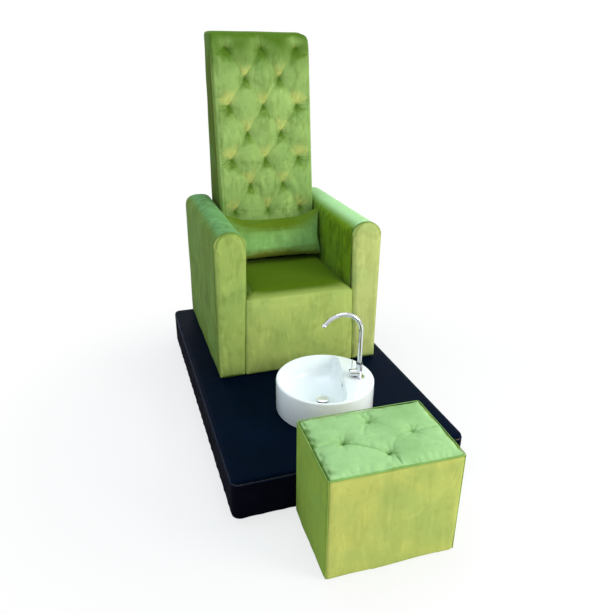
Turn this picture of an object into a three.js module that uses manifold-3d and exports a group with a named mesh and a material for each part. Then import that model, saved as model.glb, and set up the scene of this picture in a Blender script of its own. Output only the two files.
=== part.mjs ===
// Salon throne set for foot care, in millimetres, +Z up, front towards -Y.
// A tall tufted armchair stands on a covered platform, with a round foot basin and its swivel tap
// in front of the seat, and a separate tufted stool on the floor for the person who works.
// The origin is on the floor, under the middle of the whole set.
import * as THREE from 'three';
import { mergeVertices } from 'three/addons/utils/BufferGeometryUtils.js';
import Module from 'manifold-3d';

// ---------------------------------------------------------------- fits
const BEARING_GAP = 0.3; // left where one piece bears on another
const RUNNING_GAP = 0.4; // play all round a piece that turns or slides in another

// ---------------------------------------------------------------- platform
const PLATFORM_WIDTH = 942;
const PLATFORM_BEHIND_CHAIR = 21; // platform left behind the chair
const PLATFORM_CORNER = 30; // corner radius seen from above
const FOOT_HEIGHT = 12;
const FOOT_DIAMETER = 45;
const FOOT_INSET = 34; // foot centre from the outer faces
const RAIL_HEIGHT = 120;
const RAIL_THICKNESS = 22;
const DECK_THICKNESS = 18;
const TOP_PAD_THICKNESS = 18;
const TOP_PAD_EDGE = 14; // radius of the padded top edge
const SKIRT_THICKNESS = 5;
const SKIRT_FOLD_DEPTH = 1.6;
const SKIRT_FOLD_PITCH = 72;
const SKIRT_HEM = 11; // hem above the floor
const PLATFORM_WELT = 4.4; // diameter of the piping between skirt and top
const JOIST_BEHIND_CHAIR_FRONT = 60;
const JOIST_BEFORE_CHAIR_BACK = 120;
const JOIST_BEFORE_BASIN = 20;

// ---------------------------------------------------------------- basin and its waste
const BASIN_X = 10; // basin centre from the platform's centre line
const BASIN_Y = 368; // basin centre behind the platform's front edge
const BASIN_RADIUS = 205;
const BASIN_HEIGHT = 139;
const BASIN_TURN = -15.5; // degrees from +X to the tap ledge
const BASIN_EDGE = 6; // rounding of the rim and of the foot
const BASIN_WALL = 12;
const BOWL_DEPTH = 115;
const BOWL_SQUARENESS = 0.5; // 1 is a round bowl, smaller is steeper walled
const LEDGE_FROM_CENTRE = 76; // bowl wall of the tap ledge
const LEDGE_THICKNESS = 14;
const BASIN_UNDERCUT = 8; // hollow under the bowl
const BASIN_FOOT_RING = 26; // width of the ring it stands on
const DRAIN_OFFSET = 7; // drain from the basin centre, away from the tap
const DRAIN_MARGIN = 5; // flat bowl floor round the drain's flange
const OVERFLOW_DEPTH = 39; // overflow below the rim
const OVERFLOW_BORE = 18;
const OVERFLOW_FLANGE = 26;
const WASTE_FLANGE = 62;
const WASTE_FLANGE_THICKNESS = 3.4;
const WASTE_TUBE = 44; // outside diameter through the basin
const WASTE_WALL = 3;
const WASTE_LENGTH = 72; // threaded length under the flange
const WASTE_TAIL = 32; // outside diameter of the outlet
const WASTE_TAIL_LENGTH = 34;
const WASTE_NUT_HEIGHT = 10;
const WASTE_NUT_FLATS = 62;
const WASTE_SEAL_THICKNESS = 4;
const WASTE_SEAL_DIAMETER = 68;
const WASTE_CUTOUT = 100; // hole in the platform under the drain
const PLUG_DIAMETER = 56;
const PLUG_THICKNESS = 4;
const PLUG_DOME = 2;
const PLUG_LIFT = 8; // travel between open and closed
const PLUG_STEM = 8;
const PLUG_STEM_LENGTH = 52;

// ---------------------------------------------------------------- tap
const TAP_FROM_CENTRE = 141.5; // tap axis from the basin centre
const TAP_HOLE = 35;
const TAP_CUTOUT = 60; // hole in the platform under the tap
const TAP_BASE_DIAMETER = 50;
const TAP_BASE_HEIGHT = 5;
const TAP_BODY_DIAMETER = 26;
const TAP_BODY_HEIGHT = 64;
const TAP_COLLAR_DIAMETER = 28;
const TAP_COLLAR_HEIGHT = 5;
const TAP_SHANK_LENGTH = 58;
const TAP_SHANK_BORE = 12;
const TAP_NUT_FLATS = 38;
const TAP_NUT_HEIGHT = 9;
const TAP_WASHER_DIAMETER = 48;
const TAP_WASHER_THICKNESS = 3;
const SPOUT_DIAMETER = 18;
const SPOUT_WALL = 1.5;
const SPOUT_SOCKET = 18; // length held inside the tap body
const SPOUT_STRAIGHT = 206; // height above the ledge where the bend starts
const SPOUT_BEND = 70; // radius of the rising quarter turn
const SPOUT_DROOP = 88; // radius of the falling bend
const SPOUT_DROOP_ANGLE = 50; // degrees
const AERATOR_LENGTH = 14;
const AERATOR_LIP = 21; // diameter of its outer rim
const AERATOR_LIP_LENGTH = 9;
const VALVE_HEIGHT = 21; // valve axis above the ledge
const VALVE_DIAMETER = 32;
const VALVE_HOUSING_REACH = 23; // end of the fixed housing from the tap axis
const VALVE_BORE = 26;
const VALVE_BORE_DEPTH = 12;
const CARTRIDGE_SPINDLE = 8;
const CARTRIDGE_SPINDLE_LENGTH = 3;
const CAP_LENGTH = 18;
const CAP_WALL = 2.6;
const LEVER_DIAMETER = 5;
const LEVER_HEIGHT = 60; // top of the pin above the valve axis
const LEVER_HUB = 10;
const LEVER_HUB_WIDTH = 9;
const LEVER_PIVOT = 8; // pivot from the inner end of the cap
const LEVER_TILT = 25; // degrees

// ---------------------------------------------------------------- chair
const CHAIR_X = 17; // chair centre line from the platform's
const CHAIR_FRONT = 717; // chair front behind the platform's front edge
const CHAIR_WIDTH = 770;
const CHAIR_DEPTH = 830;
const ARM_WIDTH = 140;
const ARM_SPRING = 625; // height where the arm's round top starts
const ARM_RISE = 60; // height of that round top
const ARM_REAR_ROUND = 70; // radius of the arm's top rear corner
const ARM_COVER = 14; // foam and cloth over the arm boards
const ARM_BOARD = 12;
const FACING_THICKNESS = 22;
const FACING_FOOT_WIDTH = 118; // the front facing narrows to this at the floor
const FACING_EDGE = 6; // rounding of the facing
const ARM_WELT = 5.6;
const SEAT_HEIGHT = 390;
const SEAT_CROWN = 7;
const SEAT_SHOULDER = 9; // how far the pad's side edges round down
const SEAT_PAD_THICKNESS = 96;
const SEAT_PAD_DEPTH = 500;
const SEAT_FRONT_ROUND = 26;
const APRON_THICKNESS = 21;
const SEAT_RAIL_HEIGHT = 85;
const SEAT_RAIL_THICKNESS = 30;
const STRAP_WIDTH = 50;
const STRAP_THICKNESS = 2.5;
const STRAPS_ACROSS = 4;
const STRAPS_ALONG = 4;

// ---------------------------------------------------------------- backrest and pillow
const BACK_TOP = 1470; // above the platform
const BACK_LEAN = 7.2; // degrees
const BACK_FOOT = 504; // front of the backrest at seat height, behind the chair's front
const BACK_REAR = 812;
const BACK_CORNER = 55;
const BACK_PAD = 45; // thickness of the tufted pad
const BACK_COVER = 12; // foam and cloth on its sides, top and rear
const BACK_BOARD = 9;
const BACK_SIDE_BOARD = 18;
const BACK_RAIL = 40;
const TUFT_HALF_WIDTH = 86; // half diagonals of the tufted diamonds
const TUFT_HALF_HEIGHT = 126.8;
const TUFT_FIRST_ROW = 250; // first row above the seat, along the slope
const TUFT_ROWS = 7;
const TUFT_DEPTH = 32;
const CREASE_DEPTH = 11;
const TUFT_HOLE = 8; // holes in the board for the tuft ties
const BACK_EDGE_ROLL = 24;
const PILLOW_WIDTH = 486;
const PILLOW_HEIGHT = 218;
const PILLOW_THICKNESS = 96;
const PILLOW_SEAM = 7; // thickness at the seam
const PILLOW_ABOVE_SEAT = 2; // from the seat's crown to its lower seam, along the slope
const PILLOW_DRAW_IN = 0.05; // how far its sides are drawn in between the corners

// ---------------------------------------------------------------- stool
const STOOL_X = -10; // stool centre from the platform's centre line
const STOOL_GAP = 14; // clear space between stool and platform
const STOOL_TURN = -1.4; // degrees
const STOOL_WIDTH = 460;
const STOOL_DEPTH = 327;
const STOOL_HEIGHT = 396;
const STOOL_CORNER = 14;
const STOOL_COVER = 8;
const STOOL_BOARD = 15;
const STOOL_PAD = 46; // top pad above its board
const STOOL_WELT = 6;
const STOOL_CROWN = 7;
const STOOL_TUFT_X = 123; // half diagonals of its tufted diamond
const STOOL_TUFT_Y = 86;
const STOOL_TUFT_DEPTH = 24;

// ---------------------------------------------------------------- colours
const paint = (color, roughness, metalness) =>
  new THREE.MeshStandardMaterial({ color, roughness, metalness });
const velvet = paint(0x9aae4e, 0.85, 0);
const velvetPiping = paint(0x8ea045, 0.8, 0);
const leatherette = paint(0x11141f, 0.38, 0);
const leatherettePiping = paint(0x2b3040, 0.4, 0);
const plywood = paint(0xc9a26d, 0.7, 0);
const timber = paint(0xb98d57, 0.72, 0);
const webbing = paint(0x4a4238, 0.9, 0);
const ceramic = paint(0xf4f6fa, 0.12, 0);
const chrome = paint(0xd9dde2, 0.08, 1);
const darkChrome = paint(0x3a3d42, 0.25, 1);
const brass = paint(0xb9985a, 0.35, 1);
const rubber = paint(0x1c1c1e, 0.8, 0);
const glide = paint(0x18181a, 0.55, 0);

// ---------------------------------------------------------------- closed bodies
const wasm = await Module();
wasm.setup();

const radians = THREE.MathUtils.degToRad;

// Six times the volume that the triangles close, negative when they face inwards.
function signedVolume(positions, faces) {
  const [a, b, c] = [new THREE.Vector3(), new THREE.Vector3(), new THREE.Vector3()];
  let sum = 0;
  for (let i = 0; i < faces.length; i += 3) {
    a.fromArray(positions, faces[i] * 3);
    b.fromArray(positions, faces[i + 1] * 3);
    c.fromArray(positions, faces[i + 2] * 3);
    sum += a.dot(b.cross(c));
  }
  return sum;
}

// One closed mesh from loose triangles: shared points are merged, collapsed faces dropped,
// and the faces turned outwards.
function closed(geometry) {
  const bare = geometry.index ? geometry.toNonIndexed() : geometry.clone();
  bare.deleteAttribute('normal');
  bare.deleteAttribute('uv');
  const merged = mergeVertices(bare, 1e-3);
  const source = merged.index.array;
  const faces = [];
  for (let i = 0; i < source.length; i += 3) {
    const [a, b, c] = [source[i], source[i + 1], source[i + 2]];
    if (a !== b && b !== c && c !== a) faces.push(a, b, c);
  }
  if (signedVolume(merged.attributes.position.array, faces) < 0) faces.reverse();
  merged.setIndex(faces);
  return merged;
}

function solid(geometry) {
  const mesh = closed(geometry);
  const vertProperties = mesh.attributes.position.array;
  const triVerts = new Uint32Array(mesh.index.array);
  return new wasm.Manifold(new wasm.Mesh({ numProp: 3, vertProperties, triVerts }));
}

function geometryOf(manifold) {
  const mesh = manifold.getMesh();
  const geometry = new THREE.BufferGeometry();
  geometry.setAttribute('position', new THREE.BufferAttribute(mesh.vertProperties, 3));
  geometry.setIndex(new THREE.BufferAttribute(mesh.triVerts, 1));
  return geometry;
}

const cut = (body, ...tools) =>
  geometryOf(tools.reduce((rest, tool) => rest.subtract(solid(tool)), solid(body)));
const join = (body, ...others) =>
  geometryOf(others.reduce((sum, other) => sum.add(solid(other)), solid(body)));
const common = (body, ...others) =>
  geometryOf(others.reduce((part, other) => part.intersect(solid(other)), solid(body)));

// Triangles that close a flat ring of points.
function capFaces(ring) {
  const normal = new THREE.Vector3();
  ring.forEach((p, i) => {
    const q = ring[(i + 1) % ring.length];
    normal.x += (p.y - q.y) * (p.z + q.z);
    normal.y += (p.z - q.z) * (p.x + q.x);
    normal.z += (p.x - q.x) * (p.y + q.y);
  });
  const turn = new THREE.Quaternion().setFromUnitVectors(
    normal.normalize(),
    new THREE.Vector3(0, 0, 1),
  );
  const flat = ring.map((p) => p.clone().applyQuaternion(turn));
  return THREE.ShapeUtils.triangulateShape(flat.map((p) => new THREE.Vector2(p.x, p.y)), []);
}

// A closed body whose surface runs through rings of equally many points. Its ends are capped,
// or with loop the last ring meets the first.
function skin(rings, loop = false) {
  const count = rings[0].length;
  const faces = [];
  const spans = loop ? rings.length : rings.length - 1;
  for (let i = 0; i < spans; i += 1) {
    const here = i * count;
    const next = ((i + 1) % rings.length) * count;
    for (let j = 0; j < count; j += 1) {
      const k = (j + 1) % count;
      faces.push(here + j, here + k, next + k, here + j, next + k, next + j);
    }
  }
  if (!loop) {
    const last = (rings.length - 1) * count;
    capFaces(rings[0]).forEach(([a, b, c]) => faces.push(a, c, b));
    capFaces(rings.at(-1)).forEach(([a, b, c]) => faces.push(last + a, last + b, last + c));
  }
  const geometry = new THREE.BufferGeometry().setFromPoints(rings.flat());
  geometry.setIndex(faces);
  return closed(geometry);
}

// A padded slab: a relief of front(u, v) over the given grid lines, walls round its edge and a
// back that repeats the relief as back(u, v), or lies flat when flatBack is set.
function slab(us, vs, front, back, flatBack = true) {
  const points = [];
  const faces = [];
  const grid = (surface, flip) => {
    const start = points.length;
    vs.forEach((v) => us.forEach((u) => points.push(surface(u, v))));
    for (let j = 0; j < vs.length - 1; j += 1) {
      for (let i = 0; i < us.length - 1; i += 1) {
        const a = start + j * us.length + i;
        const [b, c, d] = [a + 1, a + 1 + us.length, a + us.length];
        faces.push(...(flip ? [a, c, b, a, d, c] : [a, b, c, a, c, d]));
      }
    }
  };
  grid(front, false);
  const rim = [];
  us.forEach((u) => rim.push([u, vs[0]]));
  vs.slice(1).forEach((v) => rim.push([us.at(-1), v]));
  us.slice(0, -1).reverse().forEach((u) => rim.push([u, vs.at(-1)]));
  vs.slice(1, -1).reverse().forEach((v) => rim.push([us[0], v]));
  const frontRim = rim.map(([u, v]) => front(u, v));
  const backRim = rim.map(([u, v]) => back(u, v));
  const first = points.length;
  points.push(...frontRim, ...backRim);
  rim.forEach((_, i) => {
    const k = (i + 1) % rim.length;
    const [a, b] = [first + i, first + k];
    const [c, d] = [b + rim.length, a + rim.length];
    faces.push(b, a, d, b, d, c);
  });
  if (flatBack) {
    capFaces(backRim).forEach((face) => {
      const [a, b, c] = face.map((i) => first + rim.length + i);
      faces.push(a, c, b);
    });
  } else {
    grid(back, true);
  }
  const geometry = new THREE.BufferGeometry().setFromPoints(points);
  geometry.setIndex(faces);
  return closed(geometry);
}

// ---------------------------------------------------------------- simple shapes
// A board between two corners.
function board(x0, x1, y0, y1, z0, z1) {
  const box = new THREE.BoxGeometry(x1 - x0, y1 - y0, z1 - z0);
  return box.translate((x0 + x1) / 2, (y0 + y1) / 2, (z0 + z1) / 2);
}

// A profile of [radius, height] turned about Z. Away from the axis it closes on itself.
function turned(profile, segments = 32) {
  const points = profile.map(([r, z]) => new THREE.Vector2(r, z));
  if (profile[0][0] > 0) points.push(points[0].clone());
  return closed(new THREE.LatheGeometry(points, segments).rotateX(Math.PI / 2));
}

const ring = (outer, inner, z0, z1, segments = 32) =>
  turned([[inner, z0], [outer, z0], [outer, z1], [inner, z1]], segments);

function rod(radius, z0, z1, segments = 24) {
  const cylinder = new THREE.CylinderGeometry(radius, radius, z1 - z0, segments);
  return cylinder.rotateX(Math.PI / 2).translate(0, 0, (z0 + z1) / 2);
}

function extruded(shape, depth, curveSegments = 8) {
  return new THREE.ExtrudeGeometry(shape, { depth, bevelEnabled: false, curveSegments });
}

// A shape drawn in X and Z, run from y0 to y1.
const alongY = (shape, y0, y1, curveSegments) =>
  extruded(shape, y1 - y0, curveSegments).rotateX(Math.PI / 2).translate(0, y1, 0);

// A shape drawn in Y and Z, run from x0 to x1.
const AXES_YZX = new THREE.Matrix4().makeBasis(
  new THREE.Vector3(0, 1, 0),
  new THREE.Vector3(0, 0, 1),
  new THREE.Vector3(1, 0, 0),
);
const alongX = (shape, x0, x1, curveSegments) =>
  extruded(shape, x1 - x0, curveSegments).applyMatrix4(AXES_YZX).translate(x0, 0, 0);

function hexNut(flats, bore, z0, z1) {
  const shape = new THREE.Shape();
  const corner = flats / 2 / Math.cos(Math.PI / 6);
  for (let i = 0; i < 6; i += 1) {
    const angle = (i * Math.PI) / 3;
    shape[i ? 'lineTo' : 'moveTo'](corner * Math.cos(angle), corner * Math.sin(angle));
  }
  shape.closePath();
  shape.holes.push(new THREE.Path().absarc(0, 0, bore / 2, 0, Math.PI * 2, true));
  return extruded(shape, z1 - z0, 12).translate(0, 0, z0);
}

// Points round a rectangle with round corners, counter-clockwise, none further apart than pitch
// on its straight sides.
function roundedOutline(width, length, radius, cornerSteps = 5, pitch = Infinity) {
  const points = [];
  const side = (from, to) => {
    const steps = Math.max(1, Math.ceil(from.distanceTo(to) / pitch));
    for (let i = 1; i < steps; i += 1) points.push(from.clone().lerp(to, i / steps));
  };
  const corner = (index, step) => {
    const cx = (width / 2 - radius) * [1, -1, -1, 1][index];
    const cy = (length / 2 - radius) * [1, 1, -1, -1][index];
    const angle = ((index + step / cornerSteps) * Math.PI) / 2;
    return new THREE.Vector2(cx + radius * Math.cos(angle), cy + radius * Math.sin(angle));
  };
  for (let index = 0; index < 4; index += 1) {
    for (let step = 0; step <= cornerSteps; step += 1) points.push(corner(index, step));
    side(corner(index, cornerSteps), corner((index + 1) % 4, 0));
  }
  return points;
}

const ringAt = (outline, z) => outline.map((p) => new THREE.Vector3(p.x, p.y, z));

// A round cord lying along a closed outline at one height, inside the outline.
function piping(outline, z, diameter, sides = 6) {
  const radius = diameter / 2;
  const count = outline.length;
  const rings = outline.map((p, i) => {
    const along = outline[(i + 1) % count].clone().sub(outline[(i + count - 1) % count]);
    const out = new THREE.Vector2(along.y, -along.x).normalize();
    const centre = p.clone().addScaledVector(out, -radius);
    return Array.from({ length: sides }, (_, k) => {
      const angle = (k / sides) * Math.PI * 2;
      const q = centre.clone().addScaledVector(out, radius * Math.cos(angle));
      return new THREE.Vector3(q.x, q.y, z + radius * Math.sin(angle));
    });
  });
  return skin(rings, true);
}

// Moves a point that lies outside a round corner onto its arc.
function insideCorner(x, y, cornerX, cornerY, radius) {
  const dx = Math.abs(x) - (cornerX - radius);
  const dy = y - (cornerY - radius);
  const reach = Math.hypot(dx, dy);
  if (dx <= 0 || dy <= 0 || reach <= radius) return [x, y];
  const scale = radius / reach;
  return [Math.sign(x) * (cornerX - radius + dx * scale), cornerY - radius + dy * scale];
}

// How far a padded surface falls away at a distance from its rolled edge.
function edgeRoll(distance, radius) {
  const inside = Math.max(0, radius - Math.max(0, distance));
  return radius - Math.sqrt(radius * radius - inside * inside);
}

// Evenly spaced values from one to another, both included.
const spread = (from, to, steps) =>
  Array.from({ length: steps + 1 }, (_, i) => from + ((to - from) * i) / steps);

function piece(parent, name, geometry, material) {
  const mesh = new THREE.Mesh(closed(geometry), material);
  mesh.name = name;
  mesh.geometry.computeVertexNormals();
  parent.add(mesh);
  return mesh;
}

// ---------------------------------------------------------------- levels and places
const platformLength = CHAIR_FRONT + CHAIR_DEPTH + PLATFORM_BEHIND_CHAIR;
const railBase = FOOT_HEIGHT + BEARING_GAP;
const deckBase = railBase + RAIL_HEIGHT + BEARING_GAP;
const padBase = deckBase + DECK_THICKNESS + BEARING_GAP;
const platformTop = padBase + TOP_PAD_THICKNESS;
const basinBase = platformTop + BEARING_GAP;
const ledgeDirection = new THREE.Vector2(1, 0).rotateAround(
  new THREE.Vector2(),
  radians(BASIN_TURN),
);
const basinCentre = new THREE.Vector2(BASIN_X, BASIN_Y);
const drainCentre = basinCentre.clone().addScaledVector(ledgeDirection, -DRAIN_OFFSET);
const tapCentre = basinCentre.clone().addScaledVector(ledgeDirection, TAP_FROM_CENTRE);

const set = new THREE.Group();

// ---------------------------------------------------------------- platform
function addPlatform() {
  const platform = new THREE.Group();
  platform.position.y = platformLength / 2;
  set.add(platform);
  const frameInset = SKIRT_THICKNESS + BEARING_GAP;
  const halfWidth = PLATFORM_WIDTH / 2 - frameInset;
  const halfLength = platformLength / 2 - frameInset;
  const frameOutline = roundedOutline(halfWidth * 2, halfLength * 2, PLATFORM_CORNER - frameInset);
  const blank = (z0, z1) => skin([ringAt(frameOutline, z0), ringAt(frameOutline, z1)]);

  for (const [name, sx, sy] of [
    ['platform_foot_front_left', -1, -1],
    ['platform_foot_front_right', 1, -1],
    ['platform_foot_back_left', -1, 1],
    ['platform_foot_back_right', 1, 1],
  ]) {
    const radius = FOOT_DIAMETER / 2;
    const profile = [[0, 0], [radius - 3, 0], [radius, 3], [radius - 1, FOOT_HEIGHT], [0, FOOT_HEIGHT]];
    const foot = piece(platform, name, turned(profile, 20), glide);
    foot.position.x = sx * (PLATFORM_WIDTH / 2 - FOOT_INSET);
    foot.position.y = sy * (platformLength / 2 - FOOT_INSET);
  }

  const railTop = railBase + RAIL_HEIGHT;
  const frame = blank(railBase, railTop);
  const endRail = halfLength - RAIL_THICKNESS;
  const sideEnd = endRail - BEARING_GAP;
  const sideFace = halfWidth - RAIL_THICKNESS;
  const rail = (name, x0, x1, y0, y1) =>
    piece(platform, name, common(frame, board(x0, x1, y0, y1, railBase - 1, railTop + 1)), timber);
  rail('platform_rail_front', -halfWidth - 1, halfWidth + 1, -halfLength - 1, -endRail);
  rail('platform_rail_back', -halfWidth - 1, halfWidth + 1, endRail, halfLength + 1);
  rail('platform_rail_left', -halfWidth - 1, -sideFace, -sideEnd, sideEnd);
  rail('platform_rail_right', sideFace, halfWidth + 1, -sideEnd, sideEnd);

  const joistEnd = sideFace - BEARING_GAP;
  const stations = {
    platform_joist_front: BASIN_Y - BASIN_RADIUS - JOIST_BEFORE_BASIN,
    platform_joist_middle: CHAIR_FRONT + JOIST_BEHIND_CHAIR_FRONT,
    platform_joist_rear: CHAIR_FRONT + CHAIR_DEPTH - JOIST_BEFORE_CHAIR_BACK,
  };
  for (const [name, y] of Object.entries(stations)) {
    const joist = board(-joistEnd, joistEnd, 0, RAIL_THICKNESS, railBase, railTop);
    piece(platform, name, joist, timber).position.y = y - platformLength / 2;
  }

  const holes = (z0, z1) => [
    rod(WASTE_CUTOUT / 2, z0, z1, 28).translate(drainCentre.x, drainCentre.y - platformLength / 2, 0),
    rod(TAP_CUTOUT / 2, z0, z1, 24).translate(tapCentre.x, tapCentre.y - platformLength / 2, 0),
  ];
  const deckTop = deckBase + DECK_THICKNESS;
  const deck = cut(blank(deckBase, deckTop), ...holes(deckBase - 1, deckTop + 1));
  piece(platform, 'platform_deck', deck, plywood);

  // The top pad sits inside the piping, swells over it and rolls over at the edge.
  const insideWelt = PLATFORM_WELT + BEARING_GAP;
  const aboveWelt = padBase + insideWelt / 2 + BEARING_GAP;
  const rollSteps = 4;
  const sections = [[insideWelt, padBase], [insideWelt, aboveWelt - 1], [0, aboveWelt + 1]];
  for (let i = 0; i <= rollSteps; i += 1) {
    const angle = ((i / rollSteps) * Math.PI) / 2;
    const inset = TOP_PAD_EDGE * (1 - Math.cos(angle));
    sections.push([inset, platformTop - TOP_PAD_EDGE * (1 - Math.sin(angle))]);
  }
  const padRings = sections.map(([inset, z]) => {
    const radius = PLATFORM_CORNER - inset;
    const outline = roundedOutline(PLATFORM_WIDTH - 2 * inset, platformLength - 2 * inset, radius);
    return ringAt(outline, z);
  });
  const pad = cut(skin(padRings), ...holes(padBase - 1, platformTop + 1));
  piece(platform, 'platform_top_pad', pad, leatherette);

  const edge = roundedOutline(PLATFORM_WIDTH, platformLength, PLATFORM_CORNER);
  piece(platform, 'platform_welt', piping(edge, padBase, PLATFORM_WELT), leatherettePiping);

  // The skirt hangs in soft gathers that deepen towards the hem.
  const skirtTop = padBase - PLATFORM_WELT / 2 - BEARING_GAP;
  const corner = PLATFORM_CORNER;
  const outer = roundedOutline(PLATFORM_WIDTH, platformLength, corner, 5, SKIRT_FOLD_PITCH / 2);
  const inner = outer.map((p) => {
    const x = Math.abs(p.x) - (PLATFORM_WIDTH / 2 - corner);
    const y = Math.abs(p.y) - (platformLength / 2 - corner);
    const out = new THREE.Vector2(Math.max(0, x) * Math.sign(p.x), Math.max(0, y) * Math.sign(p.y));
    return p.clone().addScaledVector(out.normalize(), -SKIRT_THICKNESS);
  });
  const folded = (depth) =>
    outer.map((p, i) => p.clone().lerp(inner[i], i % 2 ? depth / SKIRT_THICKNESS : 0));
  const skirt = skin(
    [
      ringAt(folded(SKIRT_FOLD_DEPTH / 2), skirtTop),
      ringAt(folded(SKIRT_FOLD_DEPTH), (skirtTop + SKIRT_HEM) / 2),
      ringAt(folded(SKIRT_FOLD_DEPTH * 1.5), SKIRT_HEM),
      ringAt(inner, SKIRT_HEM),
      ringAt(inner, skirtTop),
    ],
    true,
  );
  piece(platform, 'platform_skirt', skirt, leatherette);
}

// ---------------------------------------------------------------- basin
// The bowl's outline at the rim, about the drain: a circle with one side cut off by the ledge.
function bowlReach(angle) {
  const inner = BASIN_RADIUS - BASIN_WALL;
  const along = DRAIN_OFFSET * Math.cos(angle);
  const across = DRAIN_OFFSET * Math.sin(angle);
  const toCircle = along + Math.sqrt(inner * inner - across * across);
  const toLedge = (LEDGE_FROM_CENTRE + DRAIN_OFFSET) / Math.max(Math.cos(angle), 1e-3);
  return (toCircle ** -8 + toLedge ** -8) ** (-1 / 8);
}

function bowlHollow(points = 44, steps = 9) {
  const rings = [];
  const drainFlat = WASTE_FLANGE / 2 + DRAIN_MARGIN;
  const level = (share, z) => {
    rings.push(
      Array.from({ length: points }, (_, i) => {
        const angle = (i / points) * Math.PI * 2;
        const reach = Math.max(bowlReach(angle) * share, drainFlat);
        return new THREE.Vector3(reach * Math.cos(angle) - DRAIN_OFFSET, reach * Math.sin(angle), z);
      }),
    );
  };
  level(1 + BASIN_EDGE / BASIN_RADIUS, BASIN_HEIGHT + 2);
  level(1 + BASIN_EDGE / BASIN_RADIUS, BASIN_HEIGHT);
  for (let i = 0; i < steps; i += 1) {
    const turn = (((i + 0.15) / steps) * Math.PI) / 2;
    const share = Math.cos(turn) ** BOWL_SQUARENESS;
    level(share, BASIN_HEIGHT - BOWL_DEPTH * Math.sin(turn) ** BOWL_SQUARENESS);
  }
  level(0.24, BASIN_HEIGHT - BOWL_DEPTH);
  return skin(rings);
}

function addBasin() {
  const basin = new THREE.Group();
  basin.position.set(basinCentre.x, basinCentre.y, basinBase);
  basin.rotation.z = radians(BASIN_TURN);
  set.add(basin);

  const roundSteps = 3;
  const profile = [[0, 0]];
  for (let i = 0; i <= roundSteps; i += 1) {
    const angle = ((i / roundSteps) * Math.PI) / 2;
    const inset = BASIN_EDGE * (1 - Math.sin(angle));
    profile.push([BASIN_RADIUS - inset, BASIN_EDGE * (1 - Math.cos(angle))]);
  }
  for (let i = roundSteps; i >= 0; i -= 1) {
    const angle = ((i / roundSteps) * Math.PI) / 2;
    const inset = BASIN_EDGE * (1 - Math.sin(angle));
    profile.push([BASIN_RADIUS - inset, BASIN_HEIGHT - BASIN_EDGE * (1 - Math.cos(angle))]);
  }
  profile.push([0, BASIN_HEIGHT]);

  // Under the ledge the pot is hollow, so that the tap's nut can be reached from below.
  const pocketFace = LEDGE_FROM_CENTRE + BASIN_WALL;
  const pocketRadius = BASIN_RADIUS - BASIN_WALL;
  const pocketTop = BASIN_HEIGHT - LEDGE_THICKNESS;
  const pocket = common(
    rod(pocketRadius, -1, pocketTop, 44),
    board(pocketFace, BASIN_RADIUS, -BASIN_RADIUS, BASIN_RADIUS, -2, pocketTop + 1),
  );
  const overflowTunnel = rod(OVERFLOW_BORE / 2, 0, pocketFace, 20)
    .rotateY(Math.PI / 2)
    .translate(LEDGE_FROM_CENTRE / 2, 0, BASIN_HEIGHT - OVERFLOW_DEPTH);
  const bowl = cut(
    turned(profile, 56),
    bowlHollow(),
    rod(BASIN_RADIUS - BASIN_FOOT_RING, -1, BASIN_UNDERCUT, 44),
    pocket,
    overflowTunnel,
    rod(WASTE_TUBE / 2 + RUNNING_GAP, -1, BASIN_HEIGHT, 28).translate(-DRAIN_OFFSET, 0, 0),
    rod(TAP_HOLE / 2, 0, BASIN_HEIGHT + 1, 24).translate(TAP_FROM_CENTRE, 0, 0),
  );
  piece(basin, 'basin_bowl', bowl, ceramic);

  // The overflow's ring is turned about its own axis, which lies along the ledge direction.
  const tube = OVERFLOW_BORE / 2 - BEARING_GAP;
  const lip = OVERFLOW_FLANGE / 2;
  const overflow = turned(
    [[tube - 1.5, -10], [tube, -10], [tube, 0], [lip, 0], [lip, 1], [lip - 1, 2], [tube - 1.5, 2]],
    20,
  );
  const wallShare = Math.cos(Math.asin((OVERFLOW_DEPTH / BOWL_DEPTH) ** (1 / BOWL_SQUARENESS)));
  const wallReach = bowlReach(0) * wallShare ** BOWL_SQUARENESS - DRAIN_OFFSET;
  const fitting = piece(basin, 'overflow_ring', overflow, chrome);
  fitting.rotation.y = -Math.PI / 2;
  fitting.position.set(wallReach - 2 * BEARING_GAP, 0, BASIN_HEIGHT - OVERFLOW_DEPTH);

  addWaste(basin);
  addTap(basin);
}

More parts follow.
